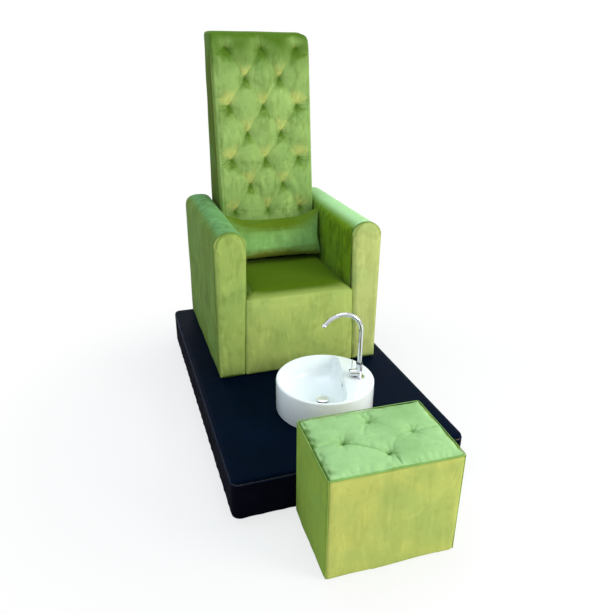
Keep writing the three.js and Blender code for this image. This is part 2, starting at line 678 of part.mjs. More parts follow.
function addWaste(basin) {
  const waste = new THREE.Group();
  waste.position.set(-DRAIN_OFFSET, 0, BASIN_HEIGHT - BOWL_DEPTH + BEARING_GAP);
  basin.add(waste);

  // One turned body: dished flange, threaded tube and the narrower outlet tail.
  const flange = WASTE_FLANGE / 2;
  const outer = WASTE_TUBE / 2;
  const bore = outer - WASTE_WALL;
  const tail = WASTE_TAIL / 2;
  const dish = PLUG_DIAMETER / 2 + RUNNING_GAP;
  const dishFloor = WASTE_FLANGE_THICKNESS - 2;
  const end = -WASTE_LENGTH - WASTE_TAIL_LENGTH;
  const shell = turned(
    [
      [bore, dishFloor],
      [dish, dishFloor],
      [dish, WASTE_FLANGE_THICKNESS],
      [flange - 1, WASTE_FLANGE_THICKNESS],
      [flange, WASTE_FLANGE_THICKNESS - 1.4],
      [flange, 0],
      [outer, 0],
      [outer, -WASTE_LENGTH],
      [tail, -WASTE_LENGTH - 4],
      [tail, end],
      [tail - WASTE_WALL, end],
      [tail - WASTE_WALL, -WASTE_LENGTH],
      [bore, -WASTE_LENGTH + 4],
    ],
    28,
  );
  // Three spokes carry the bush that guides the plug's stem.
  const bushTop = -18;
  const bushBase = -34;
  const hub = PLUG_STEM / 2 + RUNNING_GAP + 2.5;
  const spokes = [0, 1, 2].map((i) =>
    board(2, bore + 1, -1.2, 1.2, bushBase, bushTop - 4).rotateZ((i * Math.PI * 2) / 3),
  );
  const guided = join(shell, rod(hub, bushBase, bushTop, 16), ...spokes);
  const stemHole = rod(PLUG_STEM / 2 + RUNNING_GAP, bushBase - 1, bushTop + 1, 16);
  piece(waste, 'waste_body', cut(guided, stemHole), chrome);

  // The plug stands open, lifted off the dish.
  const plugBase = dishFloor + BEARING_GAP + PLUG_LIFT;
  const cap = PLUG_DIAMETER / 2;
  const crown = plugBase + PLUG_THICKNESS;
  const plug = turned(
    [
      [0, plugBase - PLUG_STEM_LENGTH],
      [PLUG_STEM / 2, plugBase - PLUG_STEM_LENGTH],
      [PLUG_STEM / 2, plugBase],
      [cap - 1, plugBase],
      [cap, plugBase + 1],
      [cap, crown - 1.5],
      [cap * 0.85, crown + PLUG_DOME * 0.3],
      [cap * 0.5, crown + PLUG_DOME * 0.8],
      [0, crown + PLUG_DOME],
    ],
    28,
  );
  piece(waste, 'waste_plug', plug, chrome);

  const under = BASIN_UNDERCUT - (BASIN_HEIGHT - BOWL_DEPTH) - 2 * BEARING_GAP;
  const sealBase = under - WASTE_SEAL_THICKNESS;
  const clear = outer + RUNNING_GAP;
  piece(waste, 'waste_seal', ring(WASTE_SEAL_DIAMETER / 2, clear, sealBase, under, 28), rubber);
  const nutTop = sealBase - BEARING_GAP;
  const nut = hexNut(WASTE_NUT_FLATS, clear * 2, nutTop - WASTE_NUT_HEIGHT, nutTop);
  piece(waste, 'waste_backnut', nut, brass);
}

// ---------------------------------------------------------------- tap
// Centre line of the spout in the tap's X and Z: up, over and down towards the bowl.
class Gooseneck extends THREE.Curve {
  constructor(start, straight, bend, droop, droopAngle, tip) {
    super();
    this.start = start;
    this.lengths = [straight - start, (bend * Math.PI) / 2, droop * droopAngle, tip];
    Object.assign(this, { straight, bend, droop, droopAngle });
  }

  get total() {
    return this.lengths.reduce((sum, length) => sum + length, 0);
  }

  getPoint(t, target = new THREE.Vector3()) {
    let s = t * this.total;
    const [rise, quarter, fall] = this.lengths;
    if (s <= rise) return target.set(0, 0, this.start + s);
    s -= rise;
    if (s <= quarter) {
      const angle = s / this.bend;
      const x = this.bend * (1 - Math.cos(angle));
      return target.set(x, 0, this.straight + this.bend * Math.sin(angle));
    }
    s -= quarter;
    const top = this.straight + this.bend;
    const angle = Math.min(s / this.droop, this.droopAngle);
    const x = this.bend + this.droop * Math.sin(angle);
    const z = top - this.droop * (1 - Math.cos(angle));
    const past = Math.max(0, s - fall);
    return target.set(x + past * Math.cos(angle), 0, z - past * Math.sin(angle));
  }
}

function addTap(basin) {
  const tap = new THREE.Group();
  tap.position.set(TAP_FROM_CENTRE, 0, BASIN_HEIGHT);
  tap.rotation.z = Math.PI;
  basin.add(tap);
  const body = TAP_BODY_DIAMETER / 2;
  const bodyBase = BEARING_GAP;

  const base = TAP_BASE_DIAMETER / 2;
  const baseBore = body + BEARING_GAP;
  const baseRing = [
    [baseBore, BEARING_GAP],
    [base, BEARING_GAP],
    [base, TAP_BASE_HEIGHT - 2],
    [base - 2, TAP_BASE_HEIGHT],
    [baseBore, TAP_BASE_HEIGHT],
  ];
  piece(tap, 'tap_base_ring', turned(baseRing, 32), chrome);

  // The body carries the valve housing on its side and the spout's socket in its top.
  const housing = rod(VALVE_DIAMETER / 2, 0, VALVE_HOUSING_REACH, 28)
    .rotateY(Math.PI / 2)
    .translate(0, 0, VALVE_HEIGHT);
  const bore = rod(VALVE_BORE / 2, VALVE_HOUSING_REACH - VALVE_BORE_DEPTH, VALVE_HOUSING_REACH + 1, 24)
    .rotateY(Math.PI / 2)
    .translate(0, 0, VALVE_HEIGHT);
  const socketFloor = TAP_BODY_HEIGHT - SPOUT_SOCKET - RUNNING_GAP;
  const socket = rod(SPOUT_DIAMETER / 2 + RUNNING_GAP, socketFloor, TAP_BODY_HEIGHT + 1, 20);
  const tapBody = cut(join(rod(body, bodyBase, TAP_BODY_HEIGHT, 28), housing), bore, socket);
  piece(tap, 'tap_body', tapBody, chrome);

  const cartridgeInner = VALVE_HOUSING_REACH - VALVE_BORE_DEPTH + BEARING_GAP;
  const cartridge = turned(
    [
      [0, cartridgeInner],
      [VALVE_BORE / 2 - BEARING_GAP, cartridgeInner],
      [VALVE_BORE / 2 - BEARING_GAP, VALVE_HOUSING_REACH - BEARING_GAP],
      [CARTRIDGE_SPINDLE / 2, VALVE_HOUSING_REACH - BEARING_GAP],
      [CARTRIDGE_SPINDLE / 2, VALVE_HOUSING_REACH + CARTRIDGE_SPINDLE_LENGTH],
      [0, VALVE_HOUSING_REACH + CARTRIDGE_SPINDLE_LENGTH],
    ],
    20,
  );
  const inserted = piece(tap, 'tap_cartridge', cartridge.rotateY(Math.PI / 2), brass);
  inserted.position.z = VALVE_HEIGHT;

  // The cap turns about the valve's axis. A slot lets the pin tilt outwards.
  const capStart = VALVE_HOUSING_REACH + BEARING_GAP;
  const capEnd = capStart + CAP_LENGTH;
  const capRadius = VALVE_DIAMETER / 2;
  const hollow = capRadius - CAP_WALL;
  const shellOfCap = turned(
    [
      [0, capEnd - CAP_WALL],
      [hollow, capEnd - CAP_WALL],
      [hollow, capStart],
      [capRadius, capStart],
      [capRadius, capEnd - 3],
      [capRadius - 3, capEnd],
      [0, capEnd],
    ],
    28,
  ).rotateY(Math.PI / 2);
  const slotHalf = LEVER_DIAMETER / 2 + RUNNING_GAP;
  const pivot = capStart + LEVER_PIVOT;
  const slotReach = capRadius * Math.tan(radians(LEVER_TILT)) + LEVER_DIAMETER;
  const slot = board(pivot - slotHalf, pivot + slotReach, -slotHalf, slotHalf, hollow / 2, capRadius + 2);
  const cap = piece(tap, 'tap_valve_cap', cut(shellOfCap, slot), chrome);
  cap.position.z = VALVE_HEIGHT;

  const lever = join(
    rod(LEVER_HUB / 2, -LEVER_HUB_WIDTH / 2, LEVER_HUB_WIDTH / 2, 16).rotateX(Math.PI / 2),
    turned(
      [
        [0, 0],
        [LEVER_DIAMETER / 2, 0],
        [LEVER_DIAMETER / 2, LEVER_HEIGHT - 1],
        [LEVER_DIAMETER / 2 - 1, LEVER_HEIGHT],
        [0, LEVER_HEIGHT],
      ],
      12,
    ),
  );
  piece(tap, 'tap_lever', lever, chrome).position.set(pivot, 0, VALVE_HEIGHT);

  const spoutRadius = SPOUT_DIAMETER / 2;
  const collarBase = TAP_BODY_HEIGHT + BEARING_GAP;
  const collar = ring(
    TAP_COLLAR_DIAMETER / 2,
    spoutRadius + RUNNING_GAP,
    collarBase,
    collarBase + TAP_COLLAR_HEIGHT,
    24,
  );
  piece(tap, 'tap_collar', collar, darkChrome);

  const section = new THREE.Shape().absarc(0, 0, spoutRadius, 0, Math.PI * 2);
  const waterway = new THREE.Path().absarc(0, 0, spoutRadius - SPOUT_WALL, 0, Math.PI * 2, true);
  section.holes.push(waterway);
  const neck = new Gooseneck(
    TAP_BODY_HEIGHT - SPOUT_SOCKET,
    SPOUT_STRAIGHT,
    SPOUT_BEND,
    SPOUT_DROOP,
    radians(SPOUT_DROOP_ANGLE),
    4,
  );
  const spout = new THREE.ExtrudeGeometry(section, {
    extrudePath: neck,
    steps: 24,
    curveSegments: 6,
    bevelEnabled: false,
  });
  piece(tap, 'tap_spout', spout, chrome);

  // The aerator is pushed into the end of the spout and covers it with its rim.
  const mouth = neck.getPoint(1);
  const plugged = spoutRadius - SPOUT_WALL - BEARING_GAP - 0.3;
  const lip = AERATOR_LIP / 2;
  const aerator = turned(
    [
      [0, -2],
      [plugged, -2],
      [plugged, AERATOR_LENGTH - AERATOR_LIP_LENGTH - 1],
      [spoutRadius, BEARING_GAP + AERATOR_LENGTH - AERATOR_LIP_LENGTH - 1],
      [lip, AERATOR_LENGTH - AERATOR_LIP_LENGTH + 1],
      [lip, AERATOR_LENGTH],
      [lip - 2, AERATOR_LENGTH],
      [lip - 3, AERATOR_LENGTH - 2],
      [0, AERATOR_LENGTH - 2],
    ],
    20,
  ).translate(0, 0, -(AERATOR_LENGTH - AERATOR_LIP_LENGTH - 1) + BEARING_GAP);
  const end = piece(tap, 'tap_aerator', aerator, chrome);
  end.position.copy(mouth);
  end.rotation.y = Math.PI / 2 + radians(SPOUT_DROOP_ANGLE);

  // Below the ledge: hollow shank, rubber washer and nut.
  const under = -LEDGE_THICKNESS - BEARING_GAP;
  const shank = body - 0.5;
  const shankTop = 0;
  piece(tap, 'tap_shank', ring(shank, TAP_SHANK_BORE / 2, -TAP_SHANK_LENGTH, shankTop, 24), brass);
  const washerBase = under - TAP_WASHER_THICKNESS;
  const washer = ring(TAP_WASHER_DIAMETER / 2, shank + BEARING_GAP, washerBase, under, 24);
  piece(tap, 'tap_washer', washer, rubber);
  const nutTop = washerBase - BEARING_GAP;
  const nut = hexNut(TAP_NUT_FLATS, (shank + BEARING_GAP) * 2, nutTop - TAP_NUT_HEIGHT, nutTop);
  piece(tap, 'tap_backnut', nut, brass);
}

// ---------------------------------------------------------------- chair
const armInner = CHAIR_WIDTH / 2 - ARM_WIDTH;
const lean = radians(BACK_LEAN);
const archSteps = 12;

// An arm's outline in X and Z, drawn for the right arm: straight legs under a round top.
function archShape(inset, legs, crest = ARM_SPRING + ARM_RISE) {
  const [innerFoot, outerFoot] = legs;
  const mid = (armInner + CHAIR_WIDTH / 2) / 2;
  const half = ARM_WIDTH / 2 - inset;
  const rise = crest - ARM_SPRING - inset;
  const shape = new THREE.Shape();
  shape.moveTo(innerFoot.x, innerFoot.y);
  shape.lineTo(outerFoot.x, outerFoot.y);
  for (let i = 0; i <= archSteps; i += 1) {
    const angle = (i / archSteps) * Math.PI;
    shape.lineTo(mid + half * Math.cos(angle), ARM_SPRING + rise * Math.sin(angle));
  }
  shape.closePath();
  return shape;
}

function straightArch(inset, foot) {
  return archShape(inset, [
    new THREE.Vector2(armInner + inset, foot),
    new THREE.Vector2(CHAIR_WIDTH / 2 - inset, foot),
  ]);
}

// The arm from the side, with its top rear corner rounded off.
function armSide(inset, foot) {
  const shape = new THREE.Shape();
  const rear = CHAIR_DEPTH - inset;
  const top = ARM_SPRING + ARM_RISE - inset;
  const radius = ARM_REAR_ROUND - inset;
  shape.moveTo(-1, foot);
  shape.lineTo(rear, foot);
  shape.lineTo(rear, top - radius);
  shape.absarc(rear - radius, top - radius, radius, 0, Math.PI / 2);
  shape.lineTo(-1, top);
  shape.closePath();
  return shape;
}

function armBlank(inset, foot, front) {
  return common(
    alongY(straightArch(inset, foot), front, CHAIR_DEPTH),
    alongX(armSide(inset, foot - 1), armInner - 1, CHAIR_WIDTH / 2 + 1, 5),
  );
}

function addArm(chair, side) {
  const arm = new THREE.Group();
  arm.scale.x = side === 'left' ? -1 : 1;
  chair.add(arm);
  const name = (suffix) => `arm_${side}_${suffix}`;
  const grooveEnd = FACING_THICKNESS + ARM_WELT + 2 * BEARING_GAP;
  const legFoot = SEAT_HEIGHT - SEAT_PAD_THICKNESS + BEARING_GAP;

  // Foam and cloth: inner panel, round top, outer panel and rear in one shell. Its inner leg
  // stops under the seat pad, where the seat rails meet the arm's boards.
  const hollow = armBlank(ARM_COVER, -2, grooveEnd - 1);
  const belowLeg = board(
    armInner - 1,
    armInner + ARM_COVER + 1,
    grooveEnd - 1,
    CHAIR_DEPTH - ARM_COVER,
    -1,
    legFoot,
  );
  const cover = cut(armBlank(0, BEARING_GAP, grooveEnd), hollow, belowLeg);
  piece(arm, name('cover'), cover, velvet);

  // Box of boards inside the shell, with an arched front board that the facing is stapled to.
  const inset = ARM_COVER + BEARING_GAP;
  const boardFront = FACING_THICKNESS + BEARING_GAP;
  const outside = armBlank(inset, BEARING_GAP, boardFront);
  const inside = armBlank(inset + ARM_BOARD, -2, boardFront + ARM_BOARD);
  piece(arm, name('frame'), cut(outside, inside), plywood);

  // Padded front facing, narrowing towards the floor on its inner side.
  const edge = CHAIR_WIDTH / 2;
  const feet = [
    new THREE.Vector2(edge - FACING_FOOT_WIDTH + FACING_EDGE, BEARING_GAP + FACING_EDGE),
    new THREE.Vector2(edge - FACING_EDGE, BEARING_GAP + FACING_EDGE),
  ];
  const facing = new THREE.ExtrudeGeometry(archShape(FACING_EDGE, feet), {
    depth: FACING_THICKNESS - FACING_EDGE,
    bevelEnabled: true,
    bevelThickness: FACING_EDGE,
    bevelSize: FACING_EDGE,
    bevelSegments: 2,
  })
    .rotateX(Math.PI / 2)
    .translate(0, FACING_THICKNESS, 0);
  const flatBacked = common(
    facing,
    board(0, edge + 1, 0, FACING_THICKNESS, -1, BACK_TOP),
  );
  piece(arm, name('facing'), flatBacked, velvet);

  // Piping in the groove between facing and cover, up one leg, over the top and down the other.
  const weltLine = archLine(ARM_WELT / 2, FACING_THICKNESS + BEARING_GAP + ARM_WELT / 2);
  const round = new THREE.Shape().absarc(0, 0, ARM_WELT / 2, 0, Math.PI * 2);
  const welt = new THREE.ExtrudeGeometry(round, {
    extrudePath: weltLine,
    steps: 34,
    curveSegments: 3,
    bevelEnabled: false,
  });
  piece(arm, name('welt'), welt, velvetPiping);
}

// Path of an arm's piping, from the inner leg's foot over the round top to the outer foot.
function archLine(inset, y) {
  const mid = (armInner + CHAIR_WIDTH / 2) / 2;
  const half = ARM_WIDTH / 2 - inset;
  const rise = ARM_RISE - inset;
  const foot = 2 * ARM_WELT;
  const path = new THREE.CurvePath();
  const at = (x, z) => new THREE.Vector3(x, y, z);
  const points = spread(Math.PI, 0, archSteps * 2).map((angle) =>
    at(mid + half * Math.cos(angle), ARM_SPRING + rise * Math.sin(angle)),
  );
  path.add(new THREE.LineCurve3(at(armInner + inset, SEAT_HEIGHT), points[0]));
  path.add(new THREE.CatmullRomCurve3(points));
  path.add(new THREE.LineCurve3(points.at(-1), at(CHAIR_WIDTH / 2 - inset, foot)));
  return path;
}

// Half the clear width between the facings at a height.
function betweenFacings(z) {
  const share = THREE.MathUtils.clamp(z / ARM_SPRING, 0, 1);
  const width = THREE.MathUtils.lerp(FACING_FOOT_WIDTH, ARM_WIDTH, share);
  return CHAIR_WIDTH / 2 - width - BEARING_GAP;
}

// Share of the seat's crown at a distance from the front.
function seatSwell(y) {
  const t = (y - SEAT_FRONT_ROUND) / (SEAT_PAD_DEPTH - SEAT_FRONT_ROUND);
  return Math.sin(Math.PI * THREE.MathUtils.clamp(t, 0, 1)) ** 0.7;
}

function addSeat(chair) {
  // The seat is a side profile that swells across the width: a crown, a rolled front edge and
  // rounded sides. Its apron hangs in front of the rails and fills the width between the facings.
  const padUnder = SEAT_HEIGHT - SEAT_PAD_THICKNESS;
  const halfSeat = armInner - BEARING_GAP;
  const roll = SEAT_FRONT_ROUND;
  const rolled = (y) => SEAT_HEIGHT - roll + Math.sqrt(roll ** 2 - (roll - Math.min(y, roll)) ** 2);
  const stations = [-1, -0.97, -0.9, -0.7, -0.35, 0, 0.35, 0.7, 0.9, 0.97, 1];
  const rings = stations.map((u) => {
    const crown = SEAT_CROWN * (1 - u ** 4);
    const shoulder = Math.abs(u) > 0.99 ? SEAT_SHOULDER : Math.abs(u) > 0.95 ? SEAT_SHOULDER / 3 : 0;
    const points = [[0, BEARING_GAP], [0, padUnder]];
    for (const y of [0, roll * 0.08, roll * 0.3, roll * 0.6]) points.push([y, rolled(y) - shoulder]);
    spread(roll, SEAT_PAD_DEPTH, 7).forEach((y) => {
      points.push([y, SEAT_HEIGHT + crown * seatSwell(y) - shoulder]);
    });
    points.push([SEAT_PAD_DEPTH, padUnder + BEARING_GAP]);
    points.push([APRON_THICKNESS, padUnder + BEARING_GAP]);
    points.push([APRON_THICKNESS, BEARING_GAP]);
    return points.map(([y, z]) => new THREE.Vector3(u * halfSeat, y, z));
  });
  const profile = new THREE.Shape();
  profile.moveTo(0, BEARING_GAP).lineTo(APRON_THICKNESS, BEARING_GAP);
  for (const share of [1, 0.6, 0.3, 0.08, 0]) {
    const y = APRON_THICKNESS * share;
    profile.lineTo(y, rolled(y) - SEAT_SHOULDER);
  }
  profile.closePath();
  const sheet = new THREE.Shape();
  sheet.moveTo(-betweenFacings(0), 0).lineTo(betweenFacings(0), 0);
  sheet.lineTo(betweenFacings(SEAT_HEIGHT), SEAT_HEIGHT);
  sheet.lineTo(-betweenFacings(SEAT_HEIGHT), SEAT_HEIGHT).closePath();
  const apron = common(
    alongX(profile, -CHAIR_WIDTH / 2, CHAIR_WIDTH / 2),
    alongY(sheet, -1, APRON_THICKNESS),
  );
  piece(chair, 'seat_pad', join(skin(rings), apron), velvet);

  // Rails between the arms' inner boards carry the crossed straps under the pad.
  const strapTop = padUnder;
  const strapBase = strapTop - STRAP_THICKNESS;
  const railTop = strapBase - BEARING_GAP;
  const railEnd = armInner + ARM_COVER;
  const frontFace = FACING_THICKNESS + BEARING_GAP;
  const rearFace = SEAT_PAD_DEPTH - BEARING_GAP - SEAT_RAIL_THICKNESS;
  for (const [name, y] of [
    ['seat_rail_front', frontFace],
    ['seat_rail_back', rearFace],
  ]) {
    const end = y + SEAT_RAIL_THICKNESS;
    const rail = board(-railEnd, railEnd, y, end, railTop - SEAT_RAIL_HEIGHT, railTop);
    piece(chair, name, rail, timber);
  }

  // Straps stapled to the rails, woven with others that run across.
  const rear = rearFace + SEAT_RAIL_THICKNESS;
  const along = spread(-halfSeat, halfSeat - STRAP_WIDTH, STRAPS_ALONG - 1).map((x) =>
    board(x, x + STRAP_WIDTH, frontFace, rear, strapBase, strapTop),
  );
  const across = spread(frontFace, rear - STRAP_WIDTH, STRAPS_ACROSS - 1).map((y) =>
    board(-halfSeat, halfSeat, y, y + STRAP_WIDTH, strapBase, strapTop),
  );
  const straps = join(...along, ...across);
  piece(chair, 'seat_webbing', straps, webbing);
}

// ---------------------------------------------------------------- backrest
const backHalf = armInner - BEARING_GAP;
const slopeLength = (BACK_TOP - SEAT_HEIGHT) / Math.cos(lean);
const leaningFrame = new THREE.Matrix4()
  .makeTranslation(0, BACK_FOOT, SEAT_HEIGHT)
  .multiply(new THREE.Matrix4().makeRotationX(-lean));

// Front of the backrest, or a plane parallel to it further back, at a height.
const slopeAt = (z, behind) =>
  BACK_FOOT + (z - SEAT_HEIGHT) * Math.tan(lean) + behind / Math.cos(lean);

// A backrest outline in X and Z: straight sides and a top with round corners.
function backShape(half, foot, top, radius) {
  const shape = new THREE.Shape();
  shape.moveTo(-half, foot).lineTo(half, foot).lineTo(half, top - radius);
  shape.absarc(half - radius, top - radius, radius, 0, Math.PI / 2);
  shape.absarc(-half + radius, top - radius, radius, Math.PI / 2, Math.PI);
  shape.closePath();
  return shape;
}

// Places of the tufts across the slope: rows of three alternate with rows of two.
function tuftPlaces() {
  const places = [];
  for (let row = 0; row < TUFT_ROWS; row += 1) {
    const columns = row % 2 ? [-1, 1] : [-2, 0, 2];
    const height = TUFT_FIRST_ROW + row * TUFT_HALF_HEIGHT;
    columns.forEach((column) => places.push([column * TUFT_HALF_WIDTH, height]));
  }
  return places;
}

// How far the cloth is drawn in, for diamonds whose corners are the tufts.
function drawnIn(p, q, crease, tuft) {
  const across = 1 - Math.abs(Math.sin(Math.PI * p));
  const along = 1 - Math.abs(Math.sin(Math.PI * q));
  return crease * (across ** 2 + along ** 2) + (tuft - 2 * crease) * (across * along) ** 3;
}

function addBack(chair) {
  const leaning = new THREE.Group();
  leaning.applyMatrix4(leaningFrame);
  chair.add(leaning);

  // Tufted pad: puffed diamonds, pleats from the outer tufts to the seams, rolled edges.
  const lastRow = TUFT_FIRST_ROW + (TUFT_ROWS - 1) * TUFT_HALF_HEIGHT;
  const outerTuft = 2 * TUFT_HALF_WIDTH;
  const relief = (x, s) => {
    const row = THREE.MathUtils.clamp(s, TUFT_FIRST_ROW, lastRow);
    const k = (row - TUFT_FIRST_ROW) / TUFT_HALF_HEIGHT / 2;
    const column = THREE.MathUtils.clamp(x, -outerTuft, outerTuft) / outerTuft;
    let depth = drawnIn(column + k, column - k, CREASE_DEPTH, TUFT_DEPTH);
    const beyond = Math.max(Math.abs(x) - outerTuft, row - lastRow, s - lastRow, TUFT_FIRST_ROW - s);
    if (beyond > 0) depth *= Math.exp(-beyond / (TUFT_HALF_WIDTH / 2));
    return Math.min(depth, TUFT_DEPTH);
  };
  const edgeLines = [0, 6, 15];
  const step = TUFT_HALF_WIDTH / 3;
  const innerColumns = Math.floor((backHalf - edgeLines.at(-1)) / step - 0.4);
  const us = [
    ...edgeLines.map((d) => d - backHalf),
    ...spread(-innerColumns, innerColumns, innerColumns * 2).map((i) => i * step),
    ...edgeLines.map((d) => backHalf - d).reverse(),
  ];
  const rise = TUFT_HALF_HEIGHT / 4;
  const headroom = slopeLength - edgeLines.at(-1) - lastRow;
  const vs = [
    ...edgeLines,
    ...spread(edgeLines.at(-1), TUFT_FIRST_ROW, 4).slice(1, -1),
    ...spread(TUFT_FIRST_ROW, lastRow, Math.round((lastRow - TUFT_FIRST_ROW) / rise)),
    ...spread(lastRow, lastRow + headroom, 2).slice(1, -1),
    ...edgeLines.map((d) => slopeLength - d).reverse(),
  ];
  const placed = (u, v, y) => {
    const [x, z] = insideCorner(u, v, backHalf, slopeLength, BACK_CORNER);
    return new THREE.Vector3(x, y, z);
  };
  const front = (u, v) => {
    const edge = Math.min(backHalf - Math.abs(u), slopeLength - v, v);
    return placed(u, v, relief(u, v) * Math.min(1, edge / 20) + edgeRoll(edge, BACK_EDGE_ROLL));
  };
  const pad = slab(us, vs, front, (u, v) => placed(u, v, BACK_PAD));
  piece(leaning, 'back_tufted_pad', pad, velvet);

  // Board behind the pad, drilled for the ties that pull the tufts in.
  const boardFront = BACK_PAD + BEARING_GAP;
  const boardHalf = backHalf - BACK_COVER - BEARING_GAP;
  const boardTop = slopeLength - BACK_COVER - BACK_CORNER / 2;
  const boardCorner = BACK_CORNER - BACK_COVER;
  const boardShape = backShape(boardHalf, 0, boardTop, boardCorner);
  tuftPlaces().forEach(([x, z]) => {
    boardShape.holes.push(new THREE.Path().absarc(x, z, TUFT_HOLE / 2, 0, Math.PI * 2, true));
  });
  const backBoard = alongY(boardShape, boardFront, boardFront + BACK_BOARD, 3);
  piece(leaning, 'back_board', backBoard, plywood);

  // Wedge-shaped side boards stand on the platform and give the backrest its lean.
  const rear = BACK_REAR - BACK_COVER - BEARING_GAP;
  const behindBoard = boardFront + BACK_BOARD + 2 * BEARING_GAP;
  const sideTop = BACK_TOP - BACK_CORNER - BACK_COVER;
  const sideShape = new THREE.Shape();
  sideShape.moveTo(slopeAt(BEARING_GAP, behindBoard), BEARING_GAP);
  sideShape.lineTo(rear, BEARING_GAP).lineTo(rear, sideTop);
  sideShape.lineTo(slopeAt(sideTop, behindBoard), sideTop).closePath();
  const sideInner = boardHalf - BACK_SIDE_BOARD;
  piece(chair, 'back_side_right', alongX(sideShape, sideInner, boardHalf), plywood);
  piece(chair, 'back_side_left', alongX(sideShape, -boardHalf, -sideInner), plywood);
  const railFace = slopeAt(sideTop, behindBoard);
  const railEnd = sideInner - BEARING_GAP;
  const rail = board(-railEnd, railEnd, railFace, railFace + BACK_RAIL, sideTop - BACK_RAIL, sideTop);
  piece(chair, 'back_rail_top', rail, timber);

  // Side and top cover: one band round the boards, cut to the slope in front.
  const bandRear = rear;
  const inFront = board(-CHAIR_WIDTH, CHAIR_WIDTH, -CHAIR_DEPTH, boardFront, -BACK_TOP, 2 * BACK_TOP);
  const outline = backShape(backHalf, BEARING_GAP, BACK_TOP - 2, BACK_CORNER);
  const hollowShape = backShape(
    backHalf - BACK_COVER,
    -BEARING_GAP,
    BACK_TOP - 2 - BACK_COVER,
    boardCorner,
  );
  const band = cut(
    alongY(outline, 0, bandRear, 6),
    alongY(hollowShape, -1, bandRear + 1, 6),
    inFront.applyMatrix4(leaningFrame),
  );
  piece(chair, 'back_side_band', band, velvet);

  // Outside back panel, closed last, with softened edges.
  const edge = BACK_COVER / 3;
  const panelShape = backShape(
    backHalf - edge,
    BEARING_GAP + edge,
    BACK_TOP - 2 - edge,
    BACK_CORNER - edge,
  );
  const panel = new THREE.ExtrudeGeometry(panelShape, {
    depth: BACK_COVER - 2 * edge,
    bevelEnabled: true,
    bevelThickness: edge,
    bevelSize: edge,
    bevelSegments: 2,
    curveSegments: 6,
  })
    .rotateX(Math.PI / 2)
    .translate(0, BACK_REAR - edge, 0);
  piece(chair, 'back_rear_panel', panel, velvet);

  addPillow(leaning);
}

function addPillow(leaning) {
  const halfWidth = PILLOW_WIDTH / 2;
  const halfHeight = PILLOW_HEIGHT / 2;
  const us = [-1, -0.96, -0.88, -0.75, -0.55, -0.3, 0, 0.3, 0.55, 0.75, 0.88, 0.96, 1];
  const vs = [-1, -0.9, -0.7, -0.4, 0, 0.4, 0.7, 0.9, 1];
  const outline = (u, v) => [
    u * halfWidth * (1 - PILLOW_DRAW_IN * (1 - v * v) * u * u),
    v * halfHeight * (1 - PILLOW_DRAW_IN * (1 - u * u) * v * v),
  ];
  const swell = (u, v) => {
    const round = Math.sqrt(Math.max(0, 1 - Math.abs(u) ** 4)) * (1 - Math.abs(v) ** 2.4) ** 0.6;
    return PILLOW_SEAM / 2 + (PILLOW_THICKNESS / 2 - PILLOW_SEAM / 2) * round;
  };
  // Its back leans on the tufted pad, and its lower seam stands just clear of the seat's crown.
  const middle = -PILLOW_THICKNESS / 2 - BEARING_GAP;
  const base = SEAT_CROWN + PILLOW_ABOVE_SEAT + halfHeight;
  const face = (sign) => (u, v) => {
    const [x, z] = outline(u, v);
    return new THREE.Vector3(x, middle + sign * swell(u, v), base + z);
  };
  piece(leaning, 'lumbar_pillow', slab(us, vs, face(-1), face(1), false), velvet);
}

